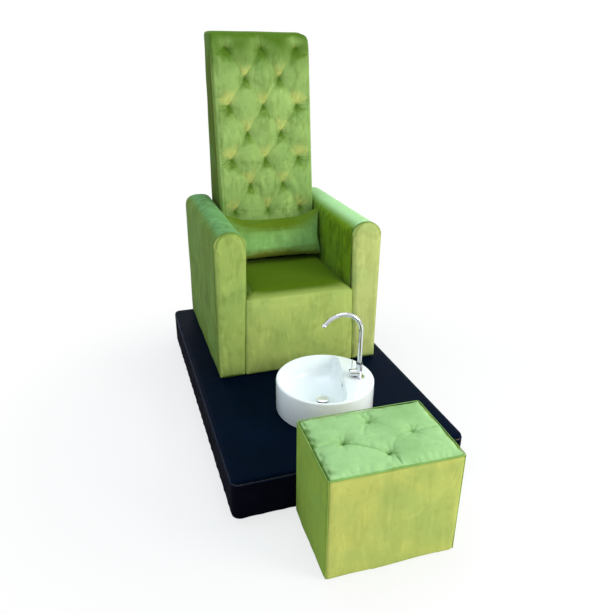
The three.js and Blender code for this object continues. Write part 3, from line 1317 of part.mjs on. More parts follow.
// ---------------------------------------------------------------- stool
function addStool() {
  const stool = new THREE.Group();
  const turn = radians(STOOL_TURN);
  const reach = (STOOL_DEPTH * Math.cos(turn) + STOOL_WIDTH * Math.abs(Math.sin(turn))) / 2;
  stool.position.set(STOOL_X, -STOOL_GAP - reach, 0);
  stool.rotation.z = turn;
  set.add(stool);

  // Side cover: cloth over thin foam, a tube with round corners.
  const coverTop = STOOL_HEIGHT - STOOL_WELT - STOOL_CROWN;
  const outlineAt = (inset, z) => {
    const outline = roundedOutline(
      STOOL_WIDTH - 2 * inset,
      STOOL_DEPTH - 2 * inset,
      STOOL_CORNER - inset,
      4,
    );
    return ringAt(outline, z);
  };
  const cover = skin(
    [
      outlineAt(1.5, 0),
      outlineAt(0, 4),
      outlineAt(0, coverTop - 3),
      outlineAt(1.5, coverTop),
      outlineAt(STOOL_COVER, coverTop),
      outlineAt(STOOL_COVER, 0),
    ],
    true,
  );
  piece(stool, 'stool_cover', cover, velvet);

  const weltLine = roundedOutline(STOOL_WIDTH, STOOL_DEPTH, STOOL_CORNER, 4);
  const weltHeight = coverTop + STOOL_WELT / 2 + BEARING_GAP;
  piece(stool, 'stool_welt', piping(weltLine, weltHeight, STOOL_WELT), velvetPiping);

  // Carcass of four boards under a lid board.
  const inset = STOOL_COVER + BEARING_GAP;
  const halfWidth = STOOL_WIDTH / 2 - inset;
  const halfDepth = STOOL_DEPTH / 2 - inset;
  const padUnder = STOOL_HEIGHT - STOOL_CROWN - STOOL_PAD;
  const lidTop = padUnder - BEARING_GAP;
  const carcassTop = lidTop - STOOL_BOARD - BEARING_GAP;
  const corner = Math.max(1, STOOL_CORNER - inset);
  const blank = (z0, z1) => {
    const outline = roundedOutline(2 * halfWidth, 2 * halfDepth, corner, 3);
    return skin([ringAt(outline, z0), ringAt(outline, z1)]);
  };
  piece(stool, 'stool_lid_board', blank(lidTop - STOOL_BOARD, lidTop), plywood);
  const endFace = halfDepth - STOOL_BOARD;
  const carcass = blank(0, carcassTop);
  const wall = (name, x0, x1, y0, y1) =>
    piece(stool, name, common(carcass, board(x0, x1, y0, y1, -1, carcassTop + 1)), plywood);
  wall('stool_board_front', -halfWidth - 1, halfWidth + 1, -halfDepth - 1, -endFace);
  wall('stool_board_back', -halfWidth - 1, halfWidth + 1, endFace, halfDepth + 1);
  const sideEnd = endFace - BEARING_GAP;
  wall('stool_board_left', -halfWidth - 1, -halfWidth + STOOL_BOARD, -sideEnd, sideEnd);
  wall('stool_board_right', halfWidth - STOOL_BOARD, halfWidth + 1, -sideEnd, sideEnd);

  // Tufted top: one diamond of four tufts, with pleats that run out to the edges.
  const padHalfWidth = halfWidth;
  const padHalfDepth = halfDepth;
  const padCorner = corner;
  const columns = [-1, -0.985, -0.93, -0.84, -0.7, -0.535, -0.4, -0.27, -0.13, 0];
  const rows = [-1, -0.98, -0.9, -0.76, -0.54, -0.4, -0.27, -0.13, 0];
  const mirrored = (list) => [...list, ...list.slice(0, -1).reverse().map((t) => -t)];
  const relief = (x, y) => {
    const p = (x / STOOL_TUFT_X + y / STOOL_TUFT_Y) / 2 + 0.5;
    const q = (x / STOOL_TUFT_X - y / STOOL_TUFT_Y) / 2 + 0.5;
    const depth = drawnIn(p, q, STOOL_TUFT_DEPTH / 4, STOOL_TUFT_DEPTH);
    const beyond = Math.max(Math.abs(x) / STOOL_TUFT_X, Math.abs(y) / STOOL_TUFT_Y) - 1;
    return beyond > 0 ? depth * Math.exp(-beyond * 2.2) : depth;
  };
  const placed = (u, v, z) => {
    const [x, up] = insideCorner(u * padHalfWidth, Math.abs(v) * padHalfDepth, padHalfWidth, padHalfDepth, padCorner);
    return new THREE.Vector3(x, Math.sign(v) * up, z);
  };
  const top = (u, v) => {
    const edge = Math.min((1 - Math.abs(u)) * padHalfWidth, (1 - Math.abs(v)) * padHalfDepth);
    const swell = STOOL_CROWN * (1 - u ** 4) * (1 - v ** 4);
    const sink = relief(u * padHalfWidth, v * padHalfDepth) * Math.min(1, edge / 30);
    return placed(u, v, STOOL_HEIGHT - STOOL_CROWN + swell - sink - edgeRoll(edge, 5));
  };
  const pad = slab(mirrored(columns), mirrored(rows), top, (u, v) => placed(u, v, padUnder));
  piece(stool, 'stool_tufted_top', pad, velvet);
  return stool.position.y - reach;
}

// ---------------------------------------------------------------- the set
addPlatform();
addBasin();
const chair = new THREE.Group();
chair.position.set(CHAIR_X, CHAIR_FRONT, platformTop);
set.add(chair);
addArm(chair, 'left');
addArm(chair, 'right');
addSeat(chair);
addBack(chair);
const stoolFront = addStool();

set.position.y = -(stoolFront + platformLength) / 2;
const throne = new THREE.Group();
throne.add(set);

export default throne;
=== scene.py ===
# %% [markdown]
# # A pedicure chair in green velvet
# The set is a tall tufted armchair on a covered platform, a round foot basin with a swivel tap, and
# a tufted stool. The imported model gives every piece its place, in metres, with the floor at zero.
# This lesson dresses that frame: it adds the camera and light, writes the finishes as nodes, and
# then models the cloth, the glaze and the piping.
# %% Load the frame
import math

import bmesh
import bpy
import numpy as np
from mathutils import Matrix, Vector


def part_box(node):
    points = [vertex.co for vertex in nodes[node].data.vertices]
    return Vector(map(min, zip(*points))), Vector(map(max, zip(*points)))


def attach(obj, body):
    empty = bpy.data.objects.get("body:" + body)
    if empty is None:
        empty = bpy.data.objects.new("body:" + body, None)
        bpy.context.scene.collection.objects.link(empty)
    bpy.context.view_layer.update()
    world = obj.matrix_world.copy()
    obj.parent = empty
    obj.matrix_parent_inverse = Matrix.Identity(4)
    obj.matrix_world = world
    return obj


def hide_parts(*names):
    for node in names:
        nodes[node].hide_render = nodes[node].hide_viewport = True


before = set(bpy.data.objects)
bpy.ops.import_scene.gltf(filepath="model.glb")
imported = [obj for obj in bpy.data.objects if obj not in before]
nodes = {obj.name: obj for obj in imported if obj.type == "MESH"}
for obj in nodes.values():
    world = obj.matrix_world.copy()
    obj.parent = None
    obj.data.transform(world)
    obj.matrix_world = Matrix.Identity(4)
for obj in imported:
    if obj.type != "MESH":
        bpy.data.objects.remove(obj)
scene = bpy.context.scene
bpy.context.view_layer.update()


# %% [markdown]
# ## Camera
# The photograph was taken standing, a little to the left of the chair, with a phone's wide lens.
# Fitting the corners of the platform, the chair and the stool gives the place, the turn and the
# focal length, so the camera is set from those numbers and nothing is tuned by eye.
# %% Camera
lens = bpy.data.cameras.new("salon_camera")
SENSOR, FOCAL_PIXELS, PICTURE_PIXELS = 36.0, 598.3, 613.0
lens.sensor_width = SENSOR
lens.lens = SENSOR * FOCAL_PIXELS / PICTURE_PIXELS
lens.clip_start = 0.05
lens.clip_end = 60.0
camera = bpy.data.objects.new("salon_camera", lens)
scene.collection.objects.link(camera)
camera.location = (-0.7735, -2.2681, 1.5772)
camera.rotation_euler = [math.radians(a) for a in (66.44, -0.76, -18.64)]
scene.camera = camera
scene.view_settings.view_transform = "Standard"


# %% [markdown]
# ## Writing a finish
# A material is a small program made of nodes. To read it like one, a class wraps each socket, so
# that plus, minus and times on it add the Math nodes, and one method adds any other kind of node.
# %% Shader writer
class Dye:
    """One output of a node in a finish, with the arithmetic that the finishes use."""

    def __init__(self, finish, socket):
        self.finish = finish
        self.socket = socket

    def _math(self, operation, first, second):
        return self.finish.node("ShaderNodeMath", {"operation": operation}, {0: first, 1: second})

    def __add__(self, other):
        return self._math("ADD", self, other)

    def __sub__(self, other):
        return self._math("SUBTRACT", self, other)

    def __rsub__(self, other):
        return self._math("SUBTRACT", other, self)

    def __mul__(self, other):
        return self._math("MULTIPLY", self, other)

    __radd__ = __add__
    __rmul__ = __mul__


class Finish:
    """A material that is written from the shader's end back to its patterns."""

    def __init__(self, name):
        self.material = bpy.data.materials.new(name)
        self.material.use_nodes = True
        self.tree = self.material.node_tree
        self.tree.nodes.clear()
        self.place = self.node("ShaderNodeTexCoord", out="Object")

    def node(self, kind, settings=None, sockets=None, out=0):
        made = self.tree.nodes.new(kind)
        for key, value in (settings or {}).items():
            if key == "stops":
                ramp = made.color_ramp.elements
                while len(ramp) < len(value):
                    ramp.new(0.5)
                for stop, (at, colour) in zip(ramp, value):
                    stop.position = at
                    stop.color = (*colour, 1.0)
            else:
                setattr(made, key, value)
        for key, value in (sockets or {}).items():
            if isinstance(value, Dye):
                self.tree.links.new(value.socket, made.inputs[key])
            else:
                made.inputs[key].default_value = value
        return Dye(self, made.outputs[out]) if made.outputs else None

    def noise(self, scale, detail=2.0, roughness=0.5, distortion=0.0, at=None):
        values = {
            "Vector": at or self.place,
            "Scale": scale,
            "Detail": detail,
            "Roughness": roughness,
            "Distortion": distortion,
        }
        return self.node("ShaderNodeTexNoise", None, values)

    def stretched(self, scale, turn=(0.0, 0.0, 0.0)):
        return self.node(
            "ShaderNodeMapping",
            None,
            {"Vector": self.place, "Scale": scale, "Rotation": turn},
        )

    def between(self, value, low, high, to_low=0.0, to_high=1.0):
        """Smoothly from to_low to to_high as value goes from low to high."""
        return self.node(
            "ShaderNodeMapRange",
            {"interpolation_type": "SMOOTHSTEP"},
            {"Value": value, 1: low, 2: high, 3: to_low, 4: to_high},
        )

    def mix(self, share, first, second, kind="MIX"):
        colour = lambda c: c if isinstance(c, Dye) else (*c, 1.0)
        return self.node(
            "ShaderNodeMix",
            {"data_type": "RGBA", "blend_type": kind},
            {0: share, 6: colour(first), 7: colour(second)},
            out=2,
        )

    def bump(self, height, depth, strength=1.0, onto=None):
        values = {"Height": height, "Distance": depth, "Strength": strength}
        if onto:
            values["Normal"] = onto
        return self.node("ShaderNodeBump", None, values)

    def surface(self, **values):
        """The Principled shader. Underscores in the names stand for spaces."""
        sockets = {}
        for key, value in values.items():
            if isinstance(value, tuple) and len(value) == 3:
                value = (*value, 1.0)
            sockets[key.replace("_", " ")] = value
        shader = self.node("ShaderNodeBsdfPrincipled", None, sockets)
        self.node("ShaderNodeOutputMaterial", None, {"Surface": shader})
        return self.material


def srgb(red, green, blue):
    """A colour as a screen writes it, from 0 to 255, as the light it stands for."""
    linear = lambda c: c / 12.92 if c <= 0.04045 else ((c + 0.055) / 1.055) ** 2.4
    return tuple(linear(c / 255) for c in (red, green, blue))


# %% [markdown]
# ## Velvet
# Velvet is a standing pile, so it is dark seen straight on, pale at grazing angles, and its tone
# changes where the pile lies another way: olive where it was brushed down, mint on the tops.
# Sheen on the shader gives the pale edges. The tone follows the way a face looks. That is partly
# the pile's lie and partly painted light and shade: faces that look left are painted darker, as
# shade, and the up and down tones paint lit and shaded slopes. Hand marks come from slow noise,
# and brush strokes from noise that is stretched along the cloth. A stored attribute paints shade
# into creases, seams and a few marks, and paints light on a few lit places.
# %% Velvet
COOL = srgb(112, 160, 88)


def velvet(
    name,
    face,
    up,
    under,
    left,
    marks=0.5,
    rise=(0.2, 0.9),
    fall=(-0.1, -0.7),
    grain=1.0,
    calm=0.0,
    turn=(0.3, 0.95),
    sheen=0.2,
):
    """Cloth whose tone changes with the way a face looks: forward, up, down and to the left.

    The tones are partly the pile's lie and partly painted light and shade, and the left one is
    painted darker, as shade. marks is how far hands have crushed the pile, and calm takes them off
    the tops."""
    cloth = Finish(name)
    facing = cloth.node("ShaderNodeTexCoord", out="Normal")
    x, z = (
        cloth.node("ShaderNodeSeparateXYZ", None, {"Vector": facing}, out=axis)
        for axis in ("X", "Z")
    )
    crush = cloth.noise(30.0, 4.0, 0.62, 1.2)
    tilt = z + (crush - 0.5) * (0.35 * marks)
    # Painted light and shade, partly the pile's lie: faces that look up, down and left take their
    # own tones, and the left tone is painted darker, as shade.
    tone = cloth.mix(cloth.between(tilt, *rise), face, up)
    tone = cloth.mix(cloth.between(tilt * -1, -fall[0], -fall[1]), tone, under)
    tone = cloth.mix(cloth.between(x * -1, *turn), tone, left)
    quiet = 1 - cloth.between(z, 0.3, 0.8) * calm
    drift = cloth.noise(3.4, 3.0, 0.55, 0.5)
    tone = cloth.mix(cloth.between(drift, 0.4, 0.68) * quiet * 0.36, tone, COOL)
    worn = cloth.noise(8.5, 4.0, 0.62, 1.4)
    strokes = cloth.noise(13.0, 4.0, 0.65, 0.9, cloth.stretched((2.4, 2.4, 0.5), (0.25, 0.35, 0.0)))
    shade = cloth.between(worn * 0.5 + strokes * 0.5, 0.46, 0.62)
    tone = cloth.mix(shade * quiet * (0.75 * marks), tone, (0.55, 0.57, 0.42), "MULTIPLY")
    swept = cloth.noise(11.0, 4.0, 0.6, 0.5, cloth.stretched((2.2, 2.2, 0.8), (0.5, 0.2, 0.0)))
    pale = cloth.between(swept, 0.5, 0.7)
    tone = cloth.mix(pale * quiet * (0.7 * marks), tone, (1.45, 1.36, 1.4), "MULTIPLY")
    # A stored attribute paints shade into creases and seams, with a few marks, and below nought it
    # mixes in the under tone, a painted highlight.
    fold = cloth.node("ShaderNodeAttribute", {"attribute_name": "fold"}, out="Fac")
    tone = cloth.mix(fold, tone, (face[0] * 0.26, face[1] * 0.36, face[2] * 0.10))
    tone = cloth.mix(fold * -1, tone, under)
    pile = cloth.noise(1150.0, 2.0, 0.6)
    tone = cloth.mix(cloth.between(pile, 0.3, 0.7) * 0.10, tone, (0.0, 0.0, 0.0))
    hills = cloth.bump(crush, 0.0024, 0.32 * grain)
    standing = cloth.bump(pile, 0.0006, 0.45, onto=hills)
    return cloth.surface(
        Base_Color=tone,
        Roughness=0.84 - shade * 0.14,
        Normal=standing,
        Sheen_Weight=sheen,
        Sheen_Roughness=0.34,
        Sheen_Tint=(0.55, 0.76, 0.22),
        Specular_IOR_Level=0.06,
    )


# %% The velvet of each piece
# The left tones are painted darker than the faces, as shade away from the lamps, and the up and
# down tones partly paint the lit and shaded sides.
FRONT = srgb(178, 196, 106)
SHADED_LEFT = srgb(112, 138, 60)
OLIVE = srgb(84, 112, 18)
chair_velvet = velvet("chair_velvet", FRONT, FRONT, FRONT, SHADED_LEFT, marks=0.6)
band_velvet = velvet("band_velvet", FRONT, OLIVE, FRONT, srgb(84, 106, 24), sheen=0.05)
seat_velvet = velvet(
    "seat_velvet", FRONT, srgb(78, 106, 8), FRONT, FRONT, rise=(0.2, 0.86), calm=1.0
)
left_arm_velvet = velvet(
    "left_arm_velvet",
    face=srgb(150, 172, 82),
    up=srgb(112, 166, 104),
    under=OLIVE,
    left=srgb(106, 132, 56),
    marks=1.0,
)
right_arm_velvet = velvet(
    "right_arm_velvet",
    face=srgb(138, 166, 52),
    up=srgb(190, 238, 172),
    under=OLIVE,
    left=srgb(120, 156, 24),
    marks=1.3,
    rise=(0.1, 0.6),
    calm=0.85,
)
# The two facings are one cloth: the left one is painted darker, as in shade, and the right one
# paler, as lit.
left_front_velvet = velvet(
    "left_front_velvet", srgb(166, 188, 98), srgb(150, 176, 84), OLIVE, FRONT, marks=0.6
)
right_front_velvet = velvet(
    "right_front_velvet", srgb(190, 201, 122), srgb(190, 201, 122), OLIVE, FRONT, marks=0.45
)
# The back's down tone paints the slopes above the tufts lit, and its up tone paints the slopes
# below them and the top darker, as shade, partly the pile's lie.
back_velvet = velvet(
    "back_velvet",
    face=srgb(153, 184, 104),
    up=srgb(88, 120, 20),
    under=srgb(208, 214, 122),
    left=srgb(128, 156, 72),
    marks=0.8,
    rise=(0.2, 0.72),
    fall=(0.0, -0.5),
    turn=(0.7, 1.0),
)
# The pillow's tones paint a pale sheen on its middle and darker olive on its top and foot, partly
# the pile's lie.
pillow_velvet = velvet(
    "pillow_velvet",
    face=srgb(156, 210, 124),
    up=srgb(96, 122, 22),
    under=srgb(138, 146, 56),
    left=FRONT,
    rise=(0.0, 0.85),
    fall=(0.15, -0.4),
    calm=0.5,
)
stool_velvet = velvet(
    "stool_velvet",
    face=srgb(140, 186, 100),
    up=srgb(170, 214, 147),
    under=srgb(96, 134, 46),
    left=srgb(126, 158, 74),
    marks=0.25,
)
stool_side_velvet = velvet(
    "stool_side_velvet",
    face=srgb(196, 200, 106),
    up=srgb(176, 190, 100),
    under=FRONT,
    left=srgb(138, 166, 64),
    marks=0.32,
)
stool_piping_velvet = velvet(
    "stool_piping_velvet",
    face=srgb(156, 180, 84),
    up=srgb(140, 190, 108),
    under=OLIVE,
    left=srgb(116, 148, 60),
    marks=0.3,
    grain=0.4,
)
piping_velvet = velvet(
    "piping_velvet",
    face=srgb(116, 142, 56),
    up=srgb(96, 132, 56),
    under=OLIVE,
    left=srgb(96, 124, 44),
    marks=0.3,
    grain=0.4,
)

# %% [markdown]
# ## Leatherette, glaze and metal
# The platform is covered in near-black navy leatherette: a fine pebbled grain, shallow creases and
# a soft gloss. The basin is glazed white ceramic, whose clear coat is glossier than the body under
# it. The tap is chrome with a few smudges, and a dark ring shows where its spout enters.
# %% Leatherette
def leatherette(name, colour, gloss=0.34, level=0.035):
    hide = Finish(name)
    cells = hide.node(
        "ShaderNodeTexVoronoi",
        {"feature": "DISTANCE_TO_EDGE"},
        {"Vector": hide.place, "Scale": 620.0},
    )
    pebble = hide.between(cells, 0.0, 0.16)
    crease = hide.noise(26.0, 5.0, 0.65, 2.2)
    slack = hide.noise(5.0, 2.0, 0.5, 0.4)
    worn = hide.between(hide.noise(9.0, 4.0, 0.6, 0.8), 0.42, 0.72)
    tone = hide.mix(worn * 0.5, colour, tuple(c * 1.6 + 0.001 for c in colour))
    tone = hide.mix((1 - pebble) * 0.55, tone, tuple(c * 0.4 for c in colour))
    wave = hide.bump(slack, 0.006, 0.35)
    soft = hide.bump(crease, 0.0012, 0.35, onto=wave)
    grain = hide.bump(pebble, 0.0003, 0.5, onto=soft)
    return hide.surface(
        Base_Color=tone,
        Roughness=worn * 0.16 + gloss,
        Normal=grain,
        Specular_IOR_Level=level,
        IOR=1.32,
    )


pad_leatherette = leatherette("pad_leatherette", srgb(1, 15, 34), level=0.03)
skirt_leatherette = leatherette("skirt_leatherette", srgb(13, 13, 24), 0.5, 0.006)
# The piping is painted lighter and bluer than the pad, a painted highlight along its seam.
piping_leatherette = leatherette("piping_leatherette", srgb(28, 42, 70), 0.25, 0.1)


# %% Glaze and metal
def glaze():
    pot = Finish("basin_glaze")
    ripple = pot.noise(14.0, 2.0, 0.5)
    cloud = pot.between(pot.noise(6.0, 3.0, 0.5), 0.35, 0.7)
    tone = pot.mix(cloud * 0.5, srgb(248, 254, 255), srgb(240, 250, 255))
    return pot.surface(
        Base_Color=tone,
        Roughness=cloud * 0.05 + 0.2,
        Normal=pot.bump(ripple, 0.0006, 0.2),
        Coat_Weight=0.3,
        Coat_Roughness=0.08,
    )


def metal(name, colour, rough, smudge=0.12, brushed=0.0):
    plate = Finish(name)
    touched = plate.between(plate.noise(38.0, 4.0, 0.6, 0.6), 0.45, 0.7)
    tone = plate.mix(touched * 0.4, colour, tuple(c * 0.82 for c in colour))
    lines = plate.noise(60.0, 2.0, 0.5, 0.0, plate.stretched((1.0, 1.0, 40.0)))
    return plate.surface(
        Base_Color=tone,
        Metallic=1.0,
        Roughness=touched * smudge + rough,
        Normal=plate.bump(lines, 0.0002, 0.05 + brushed),
    )


def moulded(name, colour, rough):
    part = Finish(name)
    cloud = part.noise(45.0, 3.0, 0.6)
    worn = tuple(c * 1.5 + 0.01 for c in colour)
    tone = part.mix(part.between(cloud, 0.4, 0.7) * 0.5, colour, worn)
    return part.surface(
        Base_Color=tone,
        Roughness=cloud * 0.2 + rough,
        Normal=part.bump(part.noise(900.0, 2.0), 0.0002, 0.3),
    )


basin_glaze = glaze()
tap_chrome = metal("tap_chrome", (0.66, 0.68, 0.71), 0.06)
collar_chrome = metal("collar_chrome", (0.10, 0.105, 0.12), 0.2)
waste_chrome = metal("waste_chrome", (0.93, 0.95, 0.97), 0.34)
waste_brass = metal("waste_brass", srgb(196, 160, 92), 0.3, brushed=0.2)
seal_rubber = moulded("seal_rubber", srgb(28, 28, 30), 0.7)
glide_plastic = moulded("glide_plastic", srgb(24, 24, 26), 0.5)


# %% [markdown]
# ## Wood and webbing
# What the cloth hides is still seen from below and in the open views: plywood shows its plies on
# the cut edges and a long figure on its faces, pine has rings, and the straps under the seat are
# a plain weave.
# %% Wood and webbing
def wood(name, pale, deep, plies=0.0):
    timber = Finish(name)
    rings = timber.node(
        "ShaderNodeTexWave",
        {"wave_type": "BANDS", "bands_direction": "X"},
        {
            "Vector": timber.stretched((1.0, 0.12, 0.12)),
            "Scale": 26.0,
            "Distortion": 7.0,
            "Detail": 3.0,
            "Detail Scale": 1.6,
        },
    )
    pores = timber.noise(260.0, 3.0, 0.6, 0.0, timber.stretched((1.0, 0.06, 0.06)))
    tone = timber.mix(timber.between(rings, 0.25, 0.85) * 0.7, pale, deep)
    tone = timber.mix(timber.between(pores, 0.55, 0.7) * 0.35, tone, tuple(c * 0.4 for c in deep))
    if plies:
        layers = timber.node(
            "ShaderNodeTexWave",
            {"wave_type": "BANDS", "bands_direction": "DIAGONAL"},
            {"Vector": timber.place, "Scale": plies, "Distortion": 0.3},
        )
        glue = tuple(c * 0.5 for c in deep)
        tone = timber.mix(timber.between(layers, 0.6, 0.9) * 0.2, tone, glue)
    return timber.surface(
        Base_Color=tone,
        Roughness=pores * 0.2 + 0.55,
        Normal=timber.bump(pores, 0.0004, 0.4),
    )


def woven_strap():
    strap = Finish("seat_webbing")
    threads = {"Vector": strap.place, "Scale": 90.0}
    warp, weft = (
        strap.node("ShaderNodeTexWave", {"bands_direction": axis}, threads) for axis in ("X", "Y")
    )
    weave = warp * weft
    tone = strap.mix(strap.between(weave, 0.1, 0.7), srgb(58, 48, 38), srgb(128, 110, 84))
    return strap.surface(Base_Color=tone, Roughness=0.88, Normal=strap.bump(weave, 0.0006, 0.6))


plywood = wood("birch_plywood", srgb(214, 180, 128), srgb(176, 132, 82), plies=55.0)
pine = wood("pine_timber", srgb(206, 166, 108), srgb(160, 112, 62))
strap_weave = woven_strap()

# %% [markdown]
# ## Finishes for the pieces that the frame already has
# The frame's rigid parts keep their shape: boards, rails, plumbing and the small parts of the tap.
# Each takes its finish by the slot that the part's record gives it.
# %% Dress the frame
SLOT_FINISH = {
    "velvet": chair_velvet,
    "velvet_piping": piping_velvet,
    "leatherette": pad_leatherette,
    "leatherette_piping": piping_leatherette,
    "plywood": plywood,
    "timber": pine,
    "webbing": strap_weave,
    "ceramic": basin_glaze,
    "chrome": tap_chrome,
    "dark_chrome": collar_chrome,
    "brass": waste_brass,
    "rubber": seal_rubber,
    "glide": glide_plastic,
}
slot_of = {name: node.data.materials[0].name.split(".")[0] for name, node in nodes.items()}
for name, node in nodes.items():
    node.data.materials.clear()
    node.data.materials.append(SLOT_FINISH[slot_of[name]])
print("finishes on the frame:", len(set(slot_of.values())))


# %% [markdown]
# ## Tools of the bench
# Every operator works on what is selected, so `only` picks one piece first. `blank_from` takes a
# merged copy of a node's solid to start a padded piece from, because the padding has to lie where
# the frame holds its space. `points_of` and `put_points` move a whole mesh as one array.
# %% Bench tools
def only(piece):
    bpy.ops.object.select_all(action="DESELECT")
    piece.select_set(True)
    bpy.context.view_layer.objects.active = piece
    return piece


def points_of(piece):
    flat = np.empty(len(piece.data.vertices) * 3)
    piece.data.vertices.foreach_get("co", flat)
    return flat.reshape(-1, 3)


def put_points(piece, points):
    piece.data.vertices.foreach_set("co", np.asarray(points, float).ravel())
    piece.data.update()


def normals_of(piece):
    flat = np.empty(len(piece.data.vertices) * 3)
    piece.data.vertices.foreach_get("normal", flat)
    return flat.reshape(-1, 3)


def blank_from(node, name):
    piece = bpy.data.objects.new(name, nodes[node].data.copy())
    scene.collection.objects.link(piece)
    piece.data.name = name
    piece.data.materials.clear()
    mesh = bmesh.new()
    mesh.from_mesh(piece.data)
    bmesh.ops.remove_doubles(mesh, verts=mesh.verts, dist=1e-5)
    mesh.to_mesh(piece.data)
    mesh.free()
    if piece.data.has_custom_normals:
        with bpy.context.temp_override(object=only(piece), active_object=piece):
            bpy.ops.mesh.customdata_custom_splitnormals_clear()
    return piece


def modify(piece, kind, **settings):
    """Adds a modifier, sets it and applies it."""
    only(piece)
    made = piece.modifiers.new(kind.title(), kind)
    for key, value in settings.items():
        setattr(made, key, value)
    bpy.ops.object.modifier_apply(modifier=made.name)
    return piece


def smooth(piece, angle=None):
    only(piece)
    if angle is None:
        bpy.ops.object.shade_smooth()
    else:
        bpy.ops.object.shade_smooth_by_angle(angle=math.radians(angle))
    return piece


def even_mesh(piece, size):
    """Clothes a solid in even quads, which cloth and folds need."""
    modify(piece, "REMESH", mode="VOXEL", voxel_size=size)
    return piece


def paint_light_shade_and_marks(piece, share):
    """Stores where the velvet is painted darker, as shade in creases and seams or as a mark,
    from 0 to 1, or painted paler, as light, from 0 to -1.
    """
    layer = piece.data.attributes.new("fold", "FLOAT", "POINT")
    layer.data.foreach_set("value", np.clip(share, -1.0, 1.0).astype(np.float32))


def dress(piece, finish, body, slot, *stands_for):
    piece.data.materials.clear()
    piece.data.materials.append(finish)
    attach(piece, body)
    if stands_for:
        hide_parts(*stands_for)
    print(piece.name, len(piece.data.vertices), "points", "on", body)
    return piece


def soften(piece, rounds):
    return modify(piece, "SMOOTH", iterations=rounds, factor=0.5)


def refine(piece):
    """Splits each face in four, and rounds what they make."""
    return modify(piece, "SUBSURF", levels=1, render_levels=1)


def lay_face(name, columns, rows):
    """A flat open grid, from -1 to 1 both ways, that a tufted pad is shaped from."""
    bpy.ops.object.select_all(action="DESELECT")
    bpy.ops.mesh.primitive_grid_add(x_subdivisions=columns, y_subdivisions=rows, size=2.0)
    face = bpy.context.object
    face.name = face.data.name = name
    return face


def face_outwards(piece):
    only(piece)
    bpy.ops.object.mode_set(mode="EDIT")
    bpy.ops.mesh.select_all(action="SELECT")
    bpy.ops.mesh.normals_make_consistent(inside=False)
    bpy.ops.object.mode_set(mode="OBJECT")


# %% [markdown]
# ## Stuffing
# A real pad swells because foam presses on cloth that is held at its seams. Blender's cloth does
# the same: air pressure fills the piece, gravity is off, and the points of a "tied" group stay.
# The swelling is then capped, so that the pad stays inside the room that the frame leaves it, and
# scaled by `room`, which is nought where the pad lies against wood or another cushion.
# %% Stuffing
def stuff(piece, cap, pressure=4.0, tied=None, room=None, slack=0.0, frames=20, stiff=15.0):
    """Swells a closed piece or an open pad as cloth, by the cap at most."""
    before = points_of(piece)
    only(piece)
    cloth = piece.modifiers.new("Stuffing", "CLOTH")
    cloth.settings.quality = 4
    cloth.settings.mass = 0.3
    cloth.settings.tension_stiffness = stiff
    cloth.settings.compression_stiffness = stiff
    cloth.settings.use_pressure = True
    cloth.settings.uniform_pressure_force = pressure
    cloth.settings.effector_weights.gravity = 0.0
    cloth.settings.shrink_min = -slack
    if tied is not None:
        group = piece.vertex_groups.new(name="tied")
        for share in np.unique(np.round(tied, 1)):
            if share > 0:
                index = np.flatnonzero(np.round(tied, 1) == share).tolist()
                group.add(index, float(share), "REPLACE")
        cloth.settings.vertex_group_mass = "tied"
    cloth.point_cache.frame_start = 1
    cloth.point_cache.frame_end = frames
    for at in range(1, frames + 1):
        scene.frame_set(at)
    bpy.ops.object.modifier_apply(modifier=cloth.name)
    scene.frame_set(1)
    piece.vertex_groups.clear()
    move = points_of(piece) - before
    length = np.linalg.norm(move, axis=1, keepdims=True)
    move *= cap * np.tanh(length / cap) / np.maximum(length, 1e-9)
    if room is not None:
        move *= np.asarray(room).reshape(-1, 1)
    put_points(piece, before + move)
    print(piece.name, "swelled by up to", round(float(np.abs(move).max()) * 1000, 1), "mm")
    return piece


def slow_waves(points, scale, seed, count=14):
    """A smooth uneven field between about -1 and 1, from a few waves in fixed directions."""
    random = np.random.default_rng(seed)
    field = np.zeros(len(points))
    for _ in range(count):
        direction = random.normal(size=3)
        direction *= random.uniform(0.5, 1.4) / np.linalg.norm(direction)
        field += np.sin(points @ direction * (2 * math.pi / scale) + random.uniform(0, 2 * math.pi))
    return field / math.sqrt(count)


def step(value, low, high):
    """Smoothly from 0 to 1 as value goes from low to high."""
    share = np.clip((np.asarray(value) - low) / (high - low), 0.0, 1.0)
    return share * share * (3 - 2 * share)


def bell(distance, width, power=2):
    """1 at no distance, and almost nothing at twice the width."""
    return np.exp(-((distance / width) ** power))


# %% [markdown]
# ## Where the chair stands
# The chair's own plan starts at its front, on its centre line, on top of the platform. Its numbers
# are those of the part's source, turned into metres.
# %% Places
seat_low, seat_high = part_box("seat_pad")
platform_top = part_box("platform_top_pad")[1].z
chair_x = (seat_low.x + seat_high.x) / 2
chair_front = seat_low.y
lean = math.radians(7.2)
SEAT_RISE, BACK_FOOT = 0.390, 0.504
seat_height = platform_top + SEAT_RISE
arm_inner, arm_outer = 0.245, 0.385
arm_width = arm_outer - arm_inner
arm_spring, arm_rise = 0.625, 0.060
print("chair stands at", round(chair_x, 4), round(chair_front, 4), round(platform_top, 4))


def from_slope(across, behind, along):
    """A point of the leaning backrest: across it, behind its face and up its slope."""
    return np.stack(
        [
            chair_x + across,
            chair_front + BACK_FOOT + behind * math.cos(lean) + along * math.sin(lean),
            seat_height - behind * math.sin(lean) + along * math.cos(lean),
        ],
        axis=-1,
    )


def slope_place(points):
    """Across, behind and along for points in the room, the other way round from from_slope."""
    y = points[:, 1] - chair_front - BACK_FOOT
    z = points[:, 2] - seat_height
    behind = y * math.cos(lean) - z * math.sin(lean)
    along = y * math.sin(lean) + z * math.cos(lean)
    return points[:, 0] - chair_x, behind, along


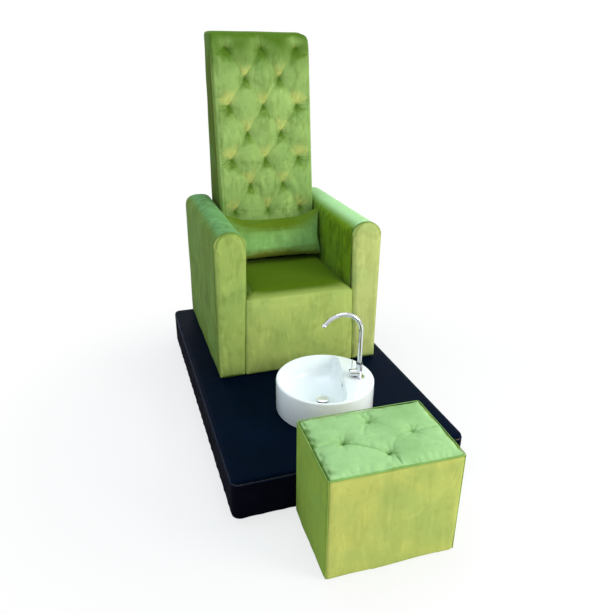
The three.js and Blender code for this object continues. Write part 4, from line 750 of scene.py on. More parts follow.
# %% [markdown]
# ## The tufted back
# Deep diamond tufting is the part that the eye goes to. The upholsterer pulls the cloth through
# the foam at every tuft, and the spare cloth folds along lines from tuft to tuft. It starts as a
# plain grid over the slope. Its points sink along the diamonds' lines and at the tufts, cloth with
# pressure then fills the diamonds, and last the creases are pressed in sharply.
# %% Tufting pattern
TUFT_ROWS, TUFT_ACROSS, TUFT_UP = 7, 0.086, 0.1268
TUFT_FIRST = 0.250
TUFT_LAST = TUFT_FIRST + (TUFT_ROWS - 1) * TUFT_UP
TUFT_SIDE = 2 * TUFT_ACROSS
BACK_HALF, BACK_RISE, BACK_DEPTH = 0.2447, 1.080, 0.045
BACK_SLOPE = BACK_RISE / math.cos(lean)
TUFTS = np.array(
    [
        (column * TUFT_ACROSS, TUFT_FIRST + row * TUFT_UP)
        for row in range(TUFT_ROWS)
        for column in ((-1, 1) if row % 2 else (-2, 0, 2))
    ]
)


def diamond_lines(across, along):
    """0 on a crease and up to 1 in a diamond, the way to the nearest tuft, and its number."""
    row = np.clip(along, TUFT_FIRST, TUFT_LAST)
    column = np.clip(across, -TUFT_SIDE, TUFT_SIDE) / TUFT_SIDE
    climb = (row - TUFT_FIRST) / TUFT_UP / 2
    rising = np.abs(np.sin(math.pi * (column - climb)))
    falling = np.abs(np.sin(math.pi * (column + climb)))
    gap = np.hypot(across[..., None] - TUFTS[:, 0], along[..., None] - TUFTS[:, 1])
    return np.minimum(rising, falling), gap.min(axis=-1), gap.argmin(axis=-1)


def past_tufts(across):
    """0 as far as the outer tufts, and 1 at the pad's side."""
    return np.clip((np.abs(across) - TUFT_SIDE) / (BACK_HALF - TUFT_SIDE), 0, 1)


def over_tufts(along):
    """0 as far as the top row of tufts, and 1 at the pad's top."""
    return np.clip((along - TUFT_LAST) / (BACK_SLOPE - TUFT_LAST), 0, 1)


def to_edge(across, along):
    """How far a point of the face is from its nearest side, or from its top or foot."""
    return np.minimum(np.minimum(BACK_HALF - np.abs(across), BACK_SLOPE - along), along)


# %% Tufted back, laid out
def edge_roll(distance, radius):
    """How far a rolled edge has dropped at a distance from the rim."""
    inside = np.clip(radius - np.maximum(distance, 0), 0, radius)
    return radius - np.sqrt(radius**2 - inside**2)


def inside_corner(across, along, half, top, radius):
    """Draws the points past a round corner in to its arc."""
    dx = np.abs(across) - (half - radius)
    dy = along - (top - radius)
    reach = np.hypot(dx, dy)
    out = (dx > 0) & (dy > 0) & (reach > radius)
    scale = np.where(out, radius / np.maximum(reach, 1e-9), 1.0)
    return (
        np.where(out, np.sign(across) * (half - radius + dx * scale), across),
        np.where(out, top - radius + dy * scale, along),
    )


back_tufting = lay_face("back_tufting", 104, 232)
flat = points_of(back_tufting)
across = flat[:, 0] * BACK_HALF
along = (flat[:, 1] + 1) / 2 * BACK_SLOPE
puff, to_tuft, _ = diamond_lines(across, along)
edge = to_edge(across, along)
held = 1 - puff**0.85
valley = 0.010 * held * (1 - 0.45 * past_tufts(across)) * (1 - 0.35 * over_tufts(along))
pull = 0.012 * bell(to_tuft, 0.046) + 0.007 * bell(to_tuft, 0.016)
sink = (valley + pull) * np.clip(edge / 0.020, 0, 1)
print("tufts", len(TUFTS), "deepest", round(float(sink.max()) * 1000, 1), "mm")


# %% Tufted back, sunk and closed
def turn_under(pad, rear_place):
    """Extrudes the rim of an open face to the back, and tells which points are the new rim."""
    only(pad)
    bpy.ops.object.mode_set(mode="EDIT")
    bpy.ops.mesh.select_all(action="SELECT")
    bpy.ops.mesh.region_to_loop()
    bpy.ops.mesh.extrude_edges_move()
    bpy.ops.object.mode_set(mode="OBJECT")
    rim = np.array([v.select for v in pad.data.vertices])
    points = points_of(pad)
    points[rim] = rear_place(points[rim])
    put_points(pad, points)
    return rim


def shut(pad):
    """Fills the open rim of a pad, once it has its last subdivision."""
    only(pad)
    bpy.ops.object.mode_set(mode="EDIT")
    bpy.ops.mesh.select_all(action="SELECT")
    bpy.ops.mesh.region_to_loop()
    bpy.ops.mesh.edge_face_add()
    bpy.ops.object.mode_set(mode="OBJECT")
    face_outwards(pad)


LEFT_CORNER, RIGHT_CORNER = 0.022, 0.055
CREST_DROP, CREST_REACH, EDGE_RADIUS = 0.022, 0.095, 0.024
corner = np.where(across < 0, LEFT_CORNER, RIGHT_CORNER)
crest = np.clip(1 - (BACK_SLOPE - along) / CREST_REACH, 0, 1) ** 2
behind = sink + CREST_DROP * crest + edge_roll(edge, EDGE_RADIUS)
across, along = inside_corner(across, along, BACK_HALF, BACK_SLOPE, corner)
put_points(back_tufting, from_slope(across, behind, along))


def behind_pad(points):
    u, behind, s = slope_place(points)
    return from_slope(u, 0 * behind + BACK_DEPTH, s)


rim = turn_under(back_tufting, behind_pad)
tied = np.ones(len(rim))
on_crease = np.clip(1.0 - puff / 0.22, 0, 1)
tied[~rim] = np.maximum(on_crease, np.maximum(bell(to_tuft, 0.016), edge < 0.006))
stuff(back_tufting, cap=0.012, pressure=5.0, tied=tied, slack=0.012, stiff=10.0)
soften(back_tufting, 4)
refine(back_tufting)
print("tufted back", len(back_tufting.data.polygons), "faces")

# %% [markdown]
# The sharp part of a crease is narrower than the cloth's grid, so it is pressed in after the last
# subdivision, along with the little pleats that gather round each tuft.
# %% Tufted back, pressed
points = points_of(back_tufting)
u, behind, s = slope_place(points)
puff, to_tuft, which = diamond_lines(u, s)
place = TUFTS[which]
beside, over = u - place[:, 0], s - place[:, 1]
angle = np.arctan2(over, beside)
side_tuft = np.abs(place[:, 0]) > 1.5 * TUFT_ACROSS
inner = np.clip(to_edge(u, s) / 0.018, 0, 1) * (behind < 0.040)
crease = bell(puff, 0.045, 1.4) * (0.3 + 0.7 * np.exp(-to_tuft / 0.045))
crease *= 1 - 0.55 * past_tufts(u)
pinch = bell(to_tuft, 0.010)
spread = 1.0 + 0.5 * np.sin(3 * angle + which * 2.3)
pleats = np.cos(9 * angle + 1.3 * np.sin(2 * angle + which) + which * 1.7)
pleats *= 0.55 * spread * bell(to_tuft - 0.022, 0.016)
outer = side_tuft * (np.abs(u) > TUFT_SIDE - 0.004) * bell(to_tuft - 0.040, 0.024)
pleats += 0.7 * np.cos(27 * angle + which) * outer * step(np.abs(np.cos(angle)), 0.7, 0.97)
loose = slow_waves(points, 0.05, 3) * np.clip(puff * 2, 0, 1)
press = inner * (0.0020 * crease + 0.0036 * pinch + 0.0010 * pleats + 0.0012 * loose)
headroom = over_tufts(s)
fan = np.cos((u / TUFT_ACROSS + 0.25 * np.sin(u * 60)) * math.pi * 3.0)
press += inner * 0.0022 * np.maximum(fan, -0.3) * headroom * np.clip(1 - headroom, 0.15, 1)
points = from_slope(u, behind + press, s)
put_points(back_tufting, points)
shut(back_tufting)

# %% Tufted back, shaded
SEAM_ACROSS = 0.2245
# Painted light and shade on the tufted face: a painted highlight above each tuft, painted shade
# below it and in the creases, pleats and side seam, and the cloth darker towards the top.
lit = bell(over - 0.030, 0.024) * bell(beside, 0.034)
lit *= np.where(side_tuft, 0.75, 0.35) * (place[:, 1] > 0.3)
shady = bell(over + 0.022, 0.020) * bell(beside, 0.030)
crown = step(s, BACK_SLOPE - 0.25, BACK_SLOPE - 0.01) * (1 + 0.15 * slow_waves(points, 0.09, 9))
seam = bell(np.abs(u) - SEAM_ACROSS, 0.0016) * step(s, 0.1, 0.3) * (1 - step(s, 0.7, 0.95))
shade_below_tuft = np.clip(np.sin(-angle), 0, 1) * bell(to_tuft, 0.020)
painted_crease_shade = 0.28 * crease + 0.4 * pinch + 0.35 * shade_below_tuft + 0.2 * np.clip(pleats, 0, 1) + 0.5 * seam
paint_light_shade_and_marks(back_tufting, inner * (painted_crease_shade + 0.4 * shady - 0.8 * lit) + 0.9 * crown)
smooth(back_tufting)
dress(back_tufting, back_velvet, "throne", "velvet", "back_tufted_pad")


# %% [markdown]
# ## The backrest's sides and rear
# Behind the tufted face, a band of velvet over thin foam goes round the sides and the top, and a
# flat panel closes the rear. Their space is a plain shell, so a copy of it is clothed in small
# quads, its edges are softened, and slow waves break its flatness as hand-pulled cloth does. The
# band reaches in under the panel's rim, and the panel is wider at its foot, so no board shows.
# %% Band and rear panel
def fuller_corner(across, up, top, radius=0.055, square=7.0):
    """Fills out the round top left corner, which the foam under the cloth makes squarer."""
    dx = np.maximum(-across - (BACK_HALF - radius), 0)
    dz = np.maximum(up - (top - radius), 0)
    angle = np.arctan2(dz, dx)
    out = (np.abs(np.cos(angle)) ** square + np.abs(np.sin(angle)) ** square) ** (-1 / square)
    scale = np.where((dx > 0) & (dz > 0), out, 1.0)
    return across + np.where(dx > 0, dx - dx * scale, 0), up + np.where(dz > 0, dz * scale - dz, 0)


def soft_shell(node, name, size, rounds, wave, seed):
    """A padded shell: remeshed, softened, and slightly uneven on its outside."""
    shell = even_mesh(blank_from(node, name), size)
    soften(shell, rounds)
    points, out = points_of(shell), normals_of(shell)
    uneven = (slow_waves(points, 0.22, seed) - 1.0) * 0.5
    put_points(shell, points + out * (uneven * wave)[:, None])
    return smooth(shell)


back_band = soft_shell("back_side_band", "back_band", 0.0065, 5, 0.0016, 11)
back_panel = soft_shell("back_rear_panel", "back_panel", 0.0062, 4, 0.0016, 12)
band_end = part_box("back_side_band")[1]
PANEL_FOOT = platform_top + 0.290
for shell in (back_band, back_panel):
    points, out = points_of(shell), normals_of(shell)
    x, z = fuller_corner(points[:, 0] - chair_x, points[:, 2], band_end.z)
    if shell is back_band:
        points[:, 1] += 0.005 * step(points[:, 1], band_end.y - 0.020, band_end.y - 0.004)
    if shell is back_panel:
        points[:, 1] -= 0.003 * step(-out[:, 1], 0.2, 0.8)
        foot = 1 - step(z, PANEL_FOOT, PANEL_FOOT + 0.016)
        x += np.sign(x) * step(np.abs(x), 0.21, 0.24) * (0.0015 + 0.022 * foot)
        z += 0.0015 * step(z, platform_top + 1.0, platform_top + 1.06)
    put_points(shell, np.c_[x + chair_x, points[:, 1], z])
dress(back_band, band_velvet, "throne", "velvet", "back_side_band")
dress(back_panel, chair_velvet, "throne", "velvet", "back_rear_panel")

# %% [markdown]
# ## The arms
# Each arm is a box of boards with foam and velvet pulled over it: flat outside, a round top, and
# an arched front facing with piping round it. The cover is one shell. The facing is a small pad of
# its own that swells between its piping, and the left one has a few wrinkles by its inner edge.
# %% Arms
WRINKLE_IN, WRINKLE_UP, WRINKLE_PITCH = 0.018, 0.27, 0.013
for side, hand, cover_velvet, front_velvet in (
    ("left", -1, left_arm_velvet, left_front_velvet),
    ("right", 1, right_arm_velvet, right_front_velvet),
):
    cover = soft_shell(f"arm_{side}_cover", f"arm_{side}_velvet", 0.0068, 6, 0.0022, 20 + hand)
    dress(cover, cover_velvet, "throne", "velvet", f"arm_{side}_cover")

    facing = even_mesh(blank_from(f"arm_{side}_facing", f"arm_{side}_front"), 0.0042)
    soften(facing, 4)
    stuff(facing, cap=0.0045, room=step(-normals_of(facing)[:, 1], 0.2, 0.9))
    refine(facing)
    points, out = points_of(facing), normals_of(facing)
    x = (points[:, 0] - chair_x) * hand - arm_inner
    z = points[:, 2] - platform_top
    reach = np.hypot(x - arm_width / 2, np.maximum(z - arm_spring, 0))
    rim = np.where(z > arm_spring, arm_rise - reach, np.minimum(x, arm_width - x))
    # Painted shade along the rim beside the piping, and in the troughs of the left facing's
    # wrinkles.
    painted_rim_and_wrinkle_shade = 0.55 * bell(rim, 0.0035)
    if side == "left":
        wrinkle = bell(x - WRINKLE_IN, 0.020) * bell(z - WRINKLE_UP, 0.035)
        wrinkle *= np.cos((z + 1.5 * x) * 2 * math.pi / WRINKLE_PITCH)
        points[:, 1] += 0.0013 * wrinkle * step(-out[:, 1], 0.3, 0.9)
        put_points(facing, points)
        painted_rim_and_wrinkle_shade = np.maximum(painted_rim_and_wrinkle_shade, 0.5 * np.clip(wrinkle, 0, 1))
    paint_light_shade_and_marks(facing, painted_rim_and_wrinkle_shade)
    smooth(facing)
    dress(facing, front_velvet, "throne", "velvet", f"arm_{side}_facing")


# %% [markdown]
# ## The seat
# The seat pad has a rolled front edge, and its cloth runs on down to the platform as an apron. Its
# top swells most in the middle. Nothing swells at the sides, where the arms hold it.
# %% Seat
seat = even_mesh(blank_from("seat_pad", "seat_cushion"), 0.0066)
soften(seat, 4)
out = normals_of(seat)
free = np.maximum(step(out[:, 2], 0.3, 0.9), 0.45 * step(-out[:, 1], 0.3, 0.9))
stuff(seat, cap=0.007, pressure=4.0, room=free)
points = points_of(seat)
front_edge = points[:, 1].min()
upward = step(normals_of(seat)[:, 2], 0.15, 0.6)
# A painted sheen: the top is painted paler towards the rolled front edge.
paint_light_shade_and_marks(seat, -0.6 * upward * (1 - step(points[:, 1], front_edge + 0.006, front_edge + 0.060)))
smooth(seat)
dress(seat, seat_velvet, "throne", "velvet", "seat_pad")

# %% [markdown]
# ## The loose pillow
# A small velvet pillow lies against the back. Its seam runs round its edge, its sides draw in
# between the corners, and the middle is full.
# %% Pillow
PILLOW_WIDER, PILLOW_FULLER = 1.04, 0.036
pillow = even_mesh(blank_from("lumbar_pillow", "pillow"), 0.0046)
soften(pillow, 3)
behind = slope_place(points_of(pillow))[1]
middle = (behind.min() + behind.max()) / 2


def ahead_of_middle(depth):
    return step(middle - depth, -0.004, 0.012)


stuff(pillow, cap=0.010, pressure=4.0, room=ahead_of_middle(behind), slack=0.02)
refine(pillow)
u, behind, s = slope_place(points_of(pillow))
half = np.abs(u).max()
level = (s - s.min()) / (s.max() - s.min())
sag = 0.017 * (1 - (u / half) ** 2) * step(level, 0.5, 1.0)
ears = 0.019 * step(np.abs(u), 0.55 * half, half) * step(level, 0.4, 1.0)
ahead = ahead_of_middle(behind)
fat = PILLOW_FULLER * ahead * (1 - 0.15 * (u / half) ** 4) * (1 - 0.85 * level**2)
gathers = 0.0016 * np.cos(u * 300 + 2 * np.sin(u * 40)) * bell(u, 0.035) * step(level, 0.6, 0.9)
low = 0.004 * ahead * (1 - step(level, 0.0, 0.3))
put_points(pillow, from_slope(u * PILLOW_WIDER, behind - fat + gathers, s - sag + ears - low))
smooth(pillow)
dress(pillow, pillow_velvet, "lumbar_pillow", "velvet", "lumbar_pillow")


# %% [markdown]
# ## The stool
# The stool is a box of boards in thin foam and velvet, with piping round its lid and down its
# corners. Its top is a pad with four tufts set in a diamond, and short pleats run out from them. A
# crease runs from the left tuft to the front one, and on to the edge. The foam under the cloth
# makes the stool a little larger than its solid, so its points are placed through on_stool.
# %% Stool's sides
stool_low, stool_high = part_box("stool_cover")
stool_turn = math.radians(-1.4)
stool_centre = (stool_low + stool_high) / 2
STOOL_HALF = np.array([0.230, 0.1635])
STOOL_PUFF, STOOL_FORWARD = (1.02, 1.03, 1.02), 0.004


def on_stool(right, back, up):
    """A point of the stool, from its own centre and turn. The foam stands out a little."""
    cos, sin = math.cos(stool_turn), math.sin(stool_turn)
    right, back = right * STOOL_PUFF[0], back * STOOL_PUFF[1] - STOOL_FORWARD
    return np.stack(
        [
            stool_centre.x + right * cos - back * sin,
            stool_centre.y + right * sin + back * cos,
            up * STOOL_PUFF[2] + 0 * right,
        ],
        axis=-1,
    )


def stool_place(points, puff=(1.0, 1.0, 1.0), forward=0.0):
    """Right, back and up on the stool, for points of the solid or, with its puff, of the foam."""
    cos, sin = math.cos(stool_turn), math.sin(stool_turn)
    dx, dy = points[:, 0] - stool_centre.x, points[:, 1] - stool_centre.y
    right, back = dx * cos + dy * sin, -dx * sin + dy * cos + forward
    return right / puff[0], back / puff[1], points[:, 2] / puff[2]


stool_sides = even_mesh(blank_from("stool_cover", "stool_sides"), 0.0058)
soften(stool_sides, 3)
points, out = points_of(stool_sides), normals_of(stool_sides)
uneven = slow_waves(points, 0.20, 31) * 0.0008
put_points(stool_sides, on_stool(*stool_place(points + out * uneven[:, None])))
right, back, up = stool_place(points_of(stool_sides), STOOL_PUFF, STOOL_FORWARD)
# Painted shade in a thin line beside the front left corner's piping.
corner_seam_shade = bell(right + STOOL_HALF[0] - 0.007, 0.0022) * (back < -0.15)
paint_light_shade_and_marks(stool_sides, 0.5 * corner_seam_shade)
smooth(stool_sides)
dress(stool_sides, stool_side_velvet, "stool", "velvet", "stool_cover")

# %% Stool's tufted top
LID_HALF, LID_RISE = STOOL_HALF - 0.0062, 0.389
TUFT_RIGHT, TUFT_BACK = 0.123, 0.086
STOOL_TUFTS = np.array([(-TUFT_RIGHT, 0.0), (TUFT_RIGHT, 0.0), (0.0, -TUFT_BACK), (0.0, TUFT_BACK)])
CREASE_RIGHT = 0.012
lid_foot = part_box("stool_tufted_top")[0].z
stool_top = lay_face("stool_top", 104, 74)
flat = points_of(stool_top)
right, back = flat[:, 0] * LID_HALF[0], flat[:, 1] * LID_HALF[1]


def stool_folds(right, back):
    """The way to the nearest tuft, its number, and how far the diamond's line is."""
    gap = np.hypot(right[:, None] - STOOL_TUFTS[:, 0], back[:, None] - STOOL_TUFTS[:, 1])
    ring = np.abs(np.abs(right) / TUFT_RIGHT + np.abs(back) / TUFT_BACK - 1) * 0.070
    return gap.min(axis=1), gap.argmin(axis=1), ring


def front_left(right, back):
    return step(0.02 - back, 0.0, 0.02) * step(0.02 - right, 0.0, 0.02)


def to_lid_edge(right, back):
    return np.minimum(LID_HALF[0] - np.abs(right), LID_HALF[1] - np.abs(back))


to_tuft, _, ring = stool_folds(right, back)
edge = to_lid_edge(right, back)
to_front = np.exp(-np.abs(right - CREASE_RIGHT) / 0.006) * (back < -TUFT_BACK)
held = 0.0018 * np.exp(-ring / 0.012) * front_left(right, back) + 0.0008 * to_front
pull = 0.010 * bell(to_tuft, 0.022, 1.4)
crown = 0.007 * (1 - flat[:, 0] ** 4) * (1 - flat[:, 1] ** 4)
up = LID_RISE + crown - (held + pull) * np.clip(edge / 0.030, 0, 1) - edge_roll(edge, 0.005)
put_points(stool_top, on_stool(right, back, up))


def under_lid(points):
    points[:, 2] = lid_foot * STOOL_PUFF[2]
    return points


rim = turn_under(stool_top, under_lid)
tied = np.ones(len(rim))
on_crease = 0.5 * front_left(right, back) * bell(ring, 0.006)
tied[~rim] = np.maximum(np.maximum(bell(to_tuft, 0.014), edge < 0.004), on_crease)
stuff(stool_top, cap=0.006, pressure=4.0, tied=tied, slack=0.03, stiff=8.0)
refine(stool_top)

# %% Stool's top, pressed
right, back, up = stool_place(points_of(stool_top), STOOL_PUFF, STOOL_FORWARD)
to_tuft, which, ring = stool_folds(right, back)
inner = np.clip(to_lid_edge(right, back) / 0.012, 0, 1) * (up > lid_foot + 0.02)
place = STOOL_TUFTS[which]
angle = np.arctan2(back - place[:, 1], right - place[:, 0])
pinch = bell(to_tuft, 0.009)
pleats = np.cos(7 * angle + which * 2.1) * bell(to_tuft - 0.018, 0.013)
line = bell(ring, 0.0035, 1.5) * front_left(right, back)
to_front = 0.5 * bell(right - CREASE_RIGHT, 0.003) * step(-back, TUFT_BACK, 0.105)
line = np.maximum(line, to_front)
press = inner * (0.0036 * pinch + 0.0011 * pleats + 0.0018 * line)
put_points(stool_top, on_stool(right, back, up - press))
shut(stool_top)
brushed = bell(right + LID_HALF[0], 0.030) * slow_waves(points_of(stool_top), 0.035, 8)
# Painted shade at the tufts and along the creases and pleats; the marks by the left edge come from
# slow waves.
painted_crease_shade = inner * (0.7 * pinch + 0.4 * line + 0.2 * np.clip(pleats, 0, 1))
paint_light_shade_and_marks(stool_top, np.clip(painted_crease_shade + 0.5 * brushed, 0, 0.9))
smooth(stool_top)
dress(stool_top, stool_velvet, "stool", "velvet", "stool_tufted_top")


# %% [markdown]
# ## Piping
# Piping is a cord sewn into a folded strip of the cover. It is drawn as a curve along the seam,
# given a round section, and turned into a mesh.
# %% Piping
def piping(name, line, radius, closed, finish, body, slot, *stands_for):
    curve = bpy.data.curves.new(name, "CURVE")
    curve.dimensions = "3D"
    curve.bevel_depth = radius
    curve.bevel_resolution = 3
    curve.use_fill_caps = not closed
    spline = curve.splines.new("POLY")
    spline.points.add(len(line) - 1)
    spline.points.foreach_set("co", np.c_[line, np.ones(len(line))].ravel())
    spline.use_cyclic_u = closed
    cord = bpy.data.objects.new(name, curve)
    scene.collection.objects.link(cord)
    only(cord)
    bpy.ops.object.convert(target="MESH")
    smooth(cord)
    return dress(cord, finish, body, slot, *stands_for)


def round_corners(half, radius, pitch=0.012):
    """A rectangle's outline with round corners, as points a pitch apart."""
    inner = np.array(half) - radius
    line = []
    for quarter, corner in enumerate(((1, 1), (-1, 1), (-1, -1), (1, -1))):
        for turn in np.linspace(0, math.pi / 2, 9):
            angle = turn + quarter * math.pi / 2
            line.append(inner * corner + radius * np.array((math.cos(angle), math.sin(angle))))
    line = np.array(line)
    full = []
    for a, b in zip(line, np.roll(line, -1, axis=0)):
        count = max(1, int(np.hypot(*(b - a)) / pitch))
        full.extend(a + (b - a) * k / count for k in range(count))
    return np.array(full)


# %% Stool piping
LID_PIPING, CORNER_PIPING = 0.0016, 0.0018
welt_low, welt_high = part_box("stool_welt")
welt_level = (welt_low.z + welt_high.z) / 2
lid_line = round_corners(STOOL_HALF - 0.0022, 0.011)
lid_line = on_stool(lid_line[:, 0], lid_line[:, 1], welt_level)
stool_cord = stool_piping_velvet, "stool", "velvet_piping"
piping("stool_piping", lid_line, LID_PIPING, True, *stool_cord, "stool_welt")

rise = np.linspace(0.004, welt_level, 30)
for corner, toward in enumerate(((-1, -1), (1, -1), (1, 1), (-1, 1))):
    at = (STOOL_HALF - 0.0042) * toward
    line = on_stool(at[0] + 0 * rise, at[1] + 0 * rise, rise)
    piping(f"stool_corner_piping_{corner}", line, CORNER_PIPING, False, *stool_cord)

# %% Arm piping
for side, hand in (("left", -1), ("right", 1)):
    low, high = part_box(f"arm_{side}_welt")
    radius = (high.y - low.y) / 2
    centre = (arm_inner + arm_outer) / 2
    half = arm_width / 2 - radius
    bend = np.linspace(math.pi, 0, 40)
    arch = np.c_[centre + half * np.cos(bend), arm_spring + (arm_rise - radius) * np.sin(bend)]
    leg_in = np.linspace(SEAT_RISE, arm_spring, 12)[:-1]
    leg_out = np.linspace(arm_spring, 0.012, 30)[1:]
    xs = np.r_[0 * leg_in + arm_inner + radius, arch[:, 0], 0 * leg_out + arm_outer - radius]
    zs = np.r_[leg_in, arch[:, 1], leg_out]
    ys = np.full(len(xs), (low.y + high.y) / 2)
    line = np.c_[chair_x + hand * xs, ys, platform_top + zs]
    arm_cord = piping_velvet, "throne", "velvet_piping"
    piping(f"arm_{side}_piping", line, radius, False, *arm_cord, f"arm_{side}_welt")


# %% [markdown]
# ## The platform's cover
# A thin pad of leatherette covers the top. The skirt is one long strip of it that hangs from the
# piping with soft vertical gathers. A strip that is sewn end to end is a tube, so the skirt starts
# as an open cylinder, whose points are then laid along the platform's outline.
# %% Platform pad
platform_pad = even_mesh(blank_from("platform_top_pad", "platform_pad"), 0.0078)
soften(platform_pad, 2)
points, out = points_of(platform_pad), normals_of(platform_pad)
upward = step(out[:, 2], 0.7, 0.95)
slack = slow_waves(points, 0.30, 41) - 1.2
put_points(platform_pad, points + out * (upward * slack * 0.0005)[:, None])
smooth(platform_pad)
dress(platform_pad, pad_leatherette, "throne", "leatherette", "platform_top_pad")

# %% Platform skirt
SKIRT_DROP, SKIRT_THICK, SKIRT_ROWS = 0.008, 0.0014, 13
skirt_low, skirt_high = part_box("platform_skirt")
skirt_foot = skirt_low.z - SKIRT_DROP
skirt_height = skirt_high.z - skirt_low.z + SKIRT_DROP
PLATFORM_HALF = np.array([(skirt_high.x - skirt_low.x) / 2, (skirt_high.y - skirt_low.y) / 2])
platform_centre = (skirt_low + skirt_high) / 2
outline = round_corners(PLATFORM_HALF - 0.0012, 0.030, 0.008)
bpy.ops.object.select_all(action="DESELECT")
bpy.ops.mesh.primitive_cylinder_add(
    vertices=len(outline), radius=1.0, depth=2.0, end_fill_type="NOTHING", calc_uvs=False
)
skirt = bpy.context.object
skirt.name = skirt.data.name = "platform_drape"
bpy.ops.object.mode_set(mode="EDIT")
bpy.ops.mesh.select_mode(type="EDGE")
bpy.ops.mesh.select_all(action="DESELECT")
bpy.ops.object.mode_set(mode="OBJECT")
for e in skirt.data.edges:
    a, b = (skirt.data.vertices[i].co for i in e.vertices)
    e.select = abs(a.z - b.z) > 1.0
bpy.ops.object.mode_set(mode="EDIT")
bpy.ops.mesh.subdivide(number_cuts=SKIRT_ROWS)
bpy.ops.object.mode_set(mode="OBJECT")
print("skirt", len(outline), "points round", round(skirt_height, 4), "m high")

# %% Skirt's gathers
flat = points_of(skirt)
turn = np.arctan2(flat[:, 0], flat[:, 1])
index = np.round(turn / (2 * math.pi) * len(outline)).astype(int) % len(outline)
level = (flat[:, 2] + 1) / 2
tangent = np.roll(outline, -1, axis=0) - np.roll(outline, 1, axis=0)
tangent /= np.linalg.norm(tangent, axis=1, keepdims=True)
outward = np.c_[tangent[:, 1], -tangent[:, 0]]
walk = np.r_[0, np.cumsum(np.linalg.norm(np.diff(outline, axis=0), axis=1))]
GATHER_PITCH, GATHER_DEPTH = 0.066, 0.0022
random = np.random.default_rng(5)
gather = np.zeros(len(outline))
for at in np.arange(0.03, walk[-1], GATHER_PITCH):
    spot = at + random.uniform(-0.018, 0.018)
    gather += random.uniform(0.5, 1.0) * bell(walk - spot, random.uniform(0.008, 0.016))
inset = GATHER_DEPTH * (1 - gather[index]) * (0.35 + 0.65 * (1 - level) ** 0.7) - 0.0004
xy = outline[index] - outward[index] * inset[:, None] + platform_centre.xy
put_points(skirt, np.c_[xy, skirt_foot + level * skirt_height])
modify(skirt, "SOLIDIFY", thickness=SKIRT_THICK, offset=-1.0)
face_outwards(skirt)
smooth(skirt, 50)
dress(skirt, skirt_leatherette, "throne", "leatherette", "platform_skirt")

# %% Platform piping
PLATFORM_PIPING = 0.0022
welt_low, welt_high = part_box("platform_welt")
welt_line = round_corners(PLATFORM_HALF - PLATFORM_PIPING, 0.028) + platform_centre.xy
welt_line = np.c_[welt_line, np.full(len(welt_line), (welt_low.z + welt_high.z) / 2)]
platform_cord = piping_leatherette, "throne", "leatherette_piping"
piping("platform_piping", welt_line, PLATFORM_PIPING, True, *platform_cord, "platform_welt")

# %% [markdown]
# ## Polished parts
# The model's turned parts are made of small flats. Each that shows is copied, merged and shaded
# as one smooth surface up to its real edges. The spout's bow is also drawn a little higher and
# further out from the collar that it turns in, as the real one stands.
# %% Tap, waste and basin
POLISHED = {
    "tap_base_ring": "throne",
    "tap_body": "throne",
    "tap_collar": "throne",
    "tap_valve_cap": "tap_valve_cap",
    "tap_lever": "tap_lever",
    "tap_spout": "tap_spout",
    "tap_aerator": "tap_spout",
    "overflow_ring": "throne",
    "waste_body": "throne",
    "waste_plug": "waste_plug",
    "basin_bowl": "throne",
}
SPOUT_LIFT, SPOUT_GROWTH = 0.013, 0.05
spout_low, spout_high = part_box("tap_spout")
collar_low, collar_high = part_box("tap_collar")
spout_axis = (collar_low + collar_high) / 2


def from_axis(points):
    return np.hypot(points[:, 0] - spout_axis.x, points[:, 1] - spout_axis.y)


spout_reach = from_axis(points_of(nodes["tap_spout"])).max()
for node, body in POLISHED.items():
    part = blank_from(node, f"{node}_finished")
    if body == "tap_spout":
        points = points_of(part)
        reach = from_axis(points) / spout_reach
        rise = step(points[:, 2], spout_low.z + 0.05, spout_high.z - 0.02)
        points[:, 2] += SPOUT_LIFT * rise * (1 - np.clip(reach, 0, 1) ** 2.5)
        growth = SPOUT_GROWTH * step(reach, 0.1, 0.4)
        points[:, :2] += (points[:, :2] - spout_axis.xy) * growth[:, None]
        put_points(part, points)
    smooth(part, 32)
    finish = waste_chrome if node in ("waste_body", "waste_plug") else SLOT_FINISH[slot_of[node]]
    dress(part, finish, body, slot_of[node], node)


# %% [markdown]
# ## Floor and light
# The picture has a plain white ground, so the camera sees the floor as mostly white near the set
# and as plain white away from it, while other rays meet a pale floor. The light is soft: a large
# lamp high in front on the right, a weaker cool one from above, and an even, slightly cool world,
# which the camera and the polished parts see as plain white.
# %% Floor and light
bpy.ops.object.select_all(action="DESELECT")
bpy.ops.mesh.primitive_grid_add(x_subdivisions=8, y_subdivisions=8, size=24.0)
floor = bpy.context.object
floor.name = floor.data.name = "salon_floor"
ground = Finish("salon_floor")
paper = ground.node("ShaderNodeBsdfDiffuse", None, {"Color": (0.93, 0.93, 0.93, 1.0)})
white = ground.node("ShaderNodeEmission", None, {"Color": (1.0, 1.0, 1.0, 1.0), "Strength": 1.0})
reach = ground.node("ShaderNodeVectorMath", {"operation": "LENGTH"}, {0: ground.place}, out="Value")
seen = ground.node("ShaderNodeLightPath", out="Is Camera Ray")
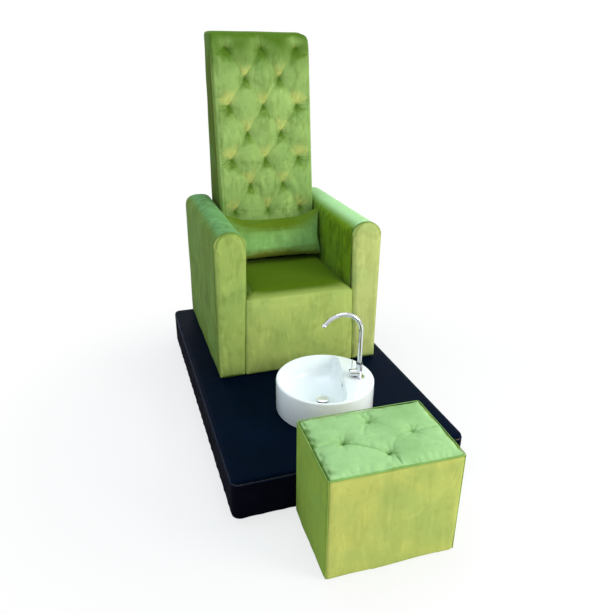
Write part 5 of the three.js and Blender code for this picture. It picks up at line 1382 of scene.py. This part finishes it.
away = (0.7 + 0.3 * ground.between(reach, 0.8, 1.6)) * seen
both = ground.node("ShaderNodeMixShader", None, {0: away, 1: paper, 2: white})
ground.node("ShaderNodeOutputMaterial", None, {"Surface": both})
floor.data.materials.append(ground.material)

world = bpy.data.worlds.new("salon_light")
scene.world = world
world.use_nodes = True
sky = world.node_tree
sky.nodes.clear()


def sky_node(kind, *inputs, **settings):
    """Adds a node to the world, and links or sets its first inputs, in their order."""
    made = sky.nodes.new(kind)
    for key, value in settings.items():
        setattr(made, key, value)
    for socket, value in zip(made.inputs, inputs):
        if isinstance(value, bpy.types.NodeSocket):
            sky.links.new(value, socket)
        else:
            socket.default_value = value
    return made.outputs


ray = sky_node("ShaderNodeLightPath")
shine = sky_node(
    "ShaderNodeMath", ray["Is Glossy Ray"], ray["Is Transmission Ray"], operation="MAXIMUM"
)
as_white = sky_node("ShaderNodeMath", ray["Is Camera Ray"], shine[0], operation="MAXIMUM")
cool = sky_node("ShaderNodeBackground", (0.86, 0.93, 1.0, 1.0), 0.66)
plain = sky_node("ShaderNodeBackground", (1.0, 1.0, 1.0, 1.0), 1.0)
blend = sky_node("ShaderNodeMixShader", as_white[0], cool[0], plain[0])
sky_node("ShaderNodeOutputWorld", blend[0])


# %% Lamps
def lamp(name, place, aim, size, power, colour):
    light = bpy.data.lights.new(name, "AREA")
    light.shape = "SQUARE"
    light.size = size
    light.energy = power
    light.color = colour
    held = bpy.data.objects.new(name, light)
    scene.collection.objects.link(held)
    held.location = place
    held.rotation_euler = (Vector(aim) - Vector(place)).to_track_quat("-Z", "Y").to_euler()


lamp("window", (2.5, -2.7, 2.0), (0.0, 0.2, 0.6), 1.8, 92.0, (1.0, 0.96, 0.86))
lamp("ceiling", (-0.2, 0.2, 4.2), (0.0, 0.1, 0.3), 2.6, 45.0, (0.82, 0.93, 1.0))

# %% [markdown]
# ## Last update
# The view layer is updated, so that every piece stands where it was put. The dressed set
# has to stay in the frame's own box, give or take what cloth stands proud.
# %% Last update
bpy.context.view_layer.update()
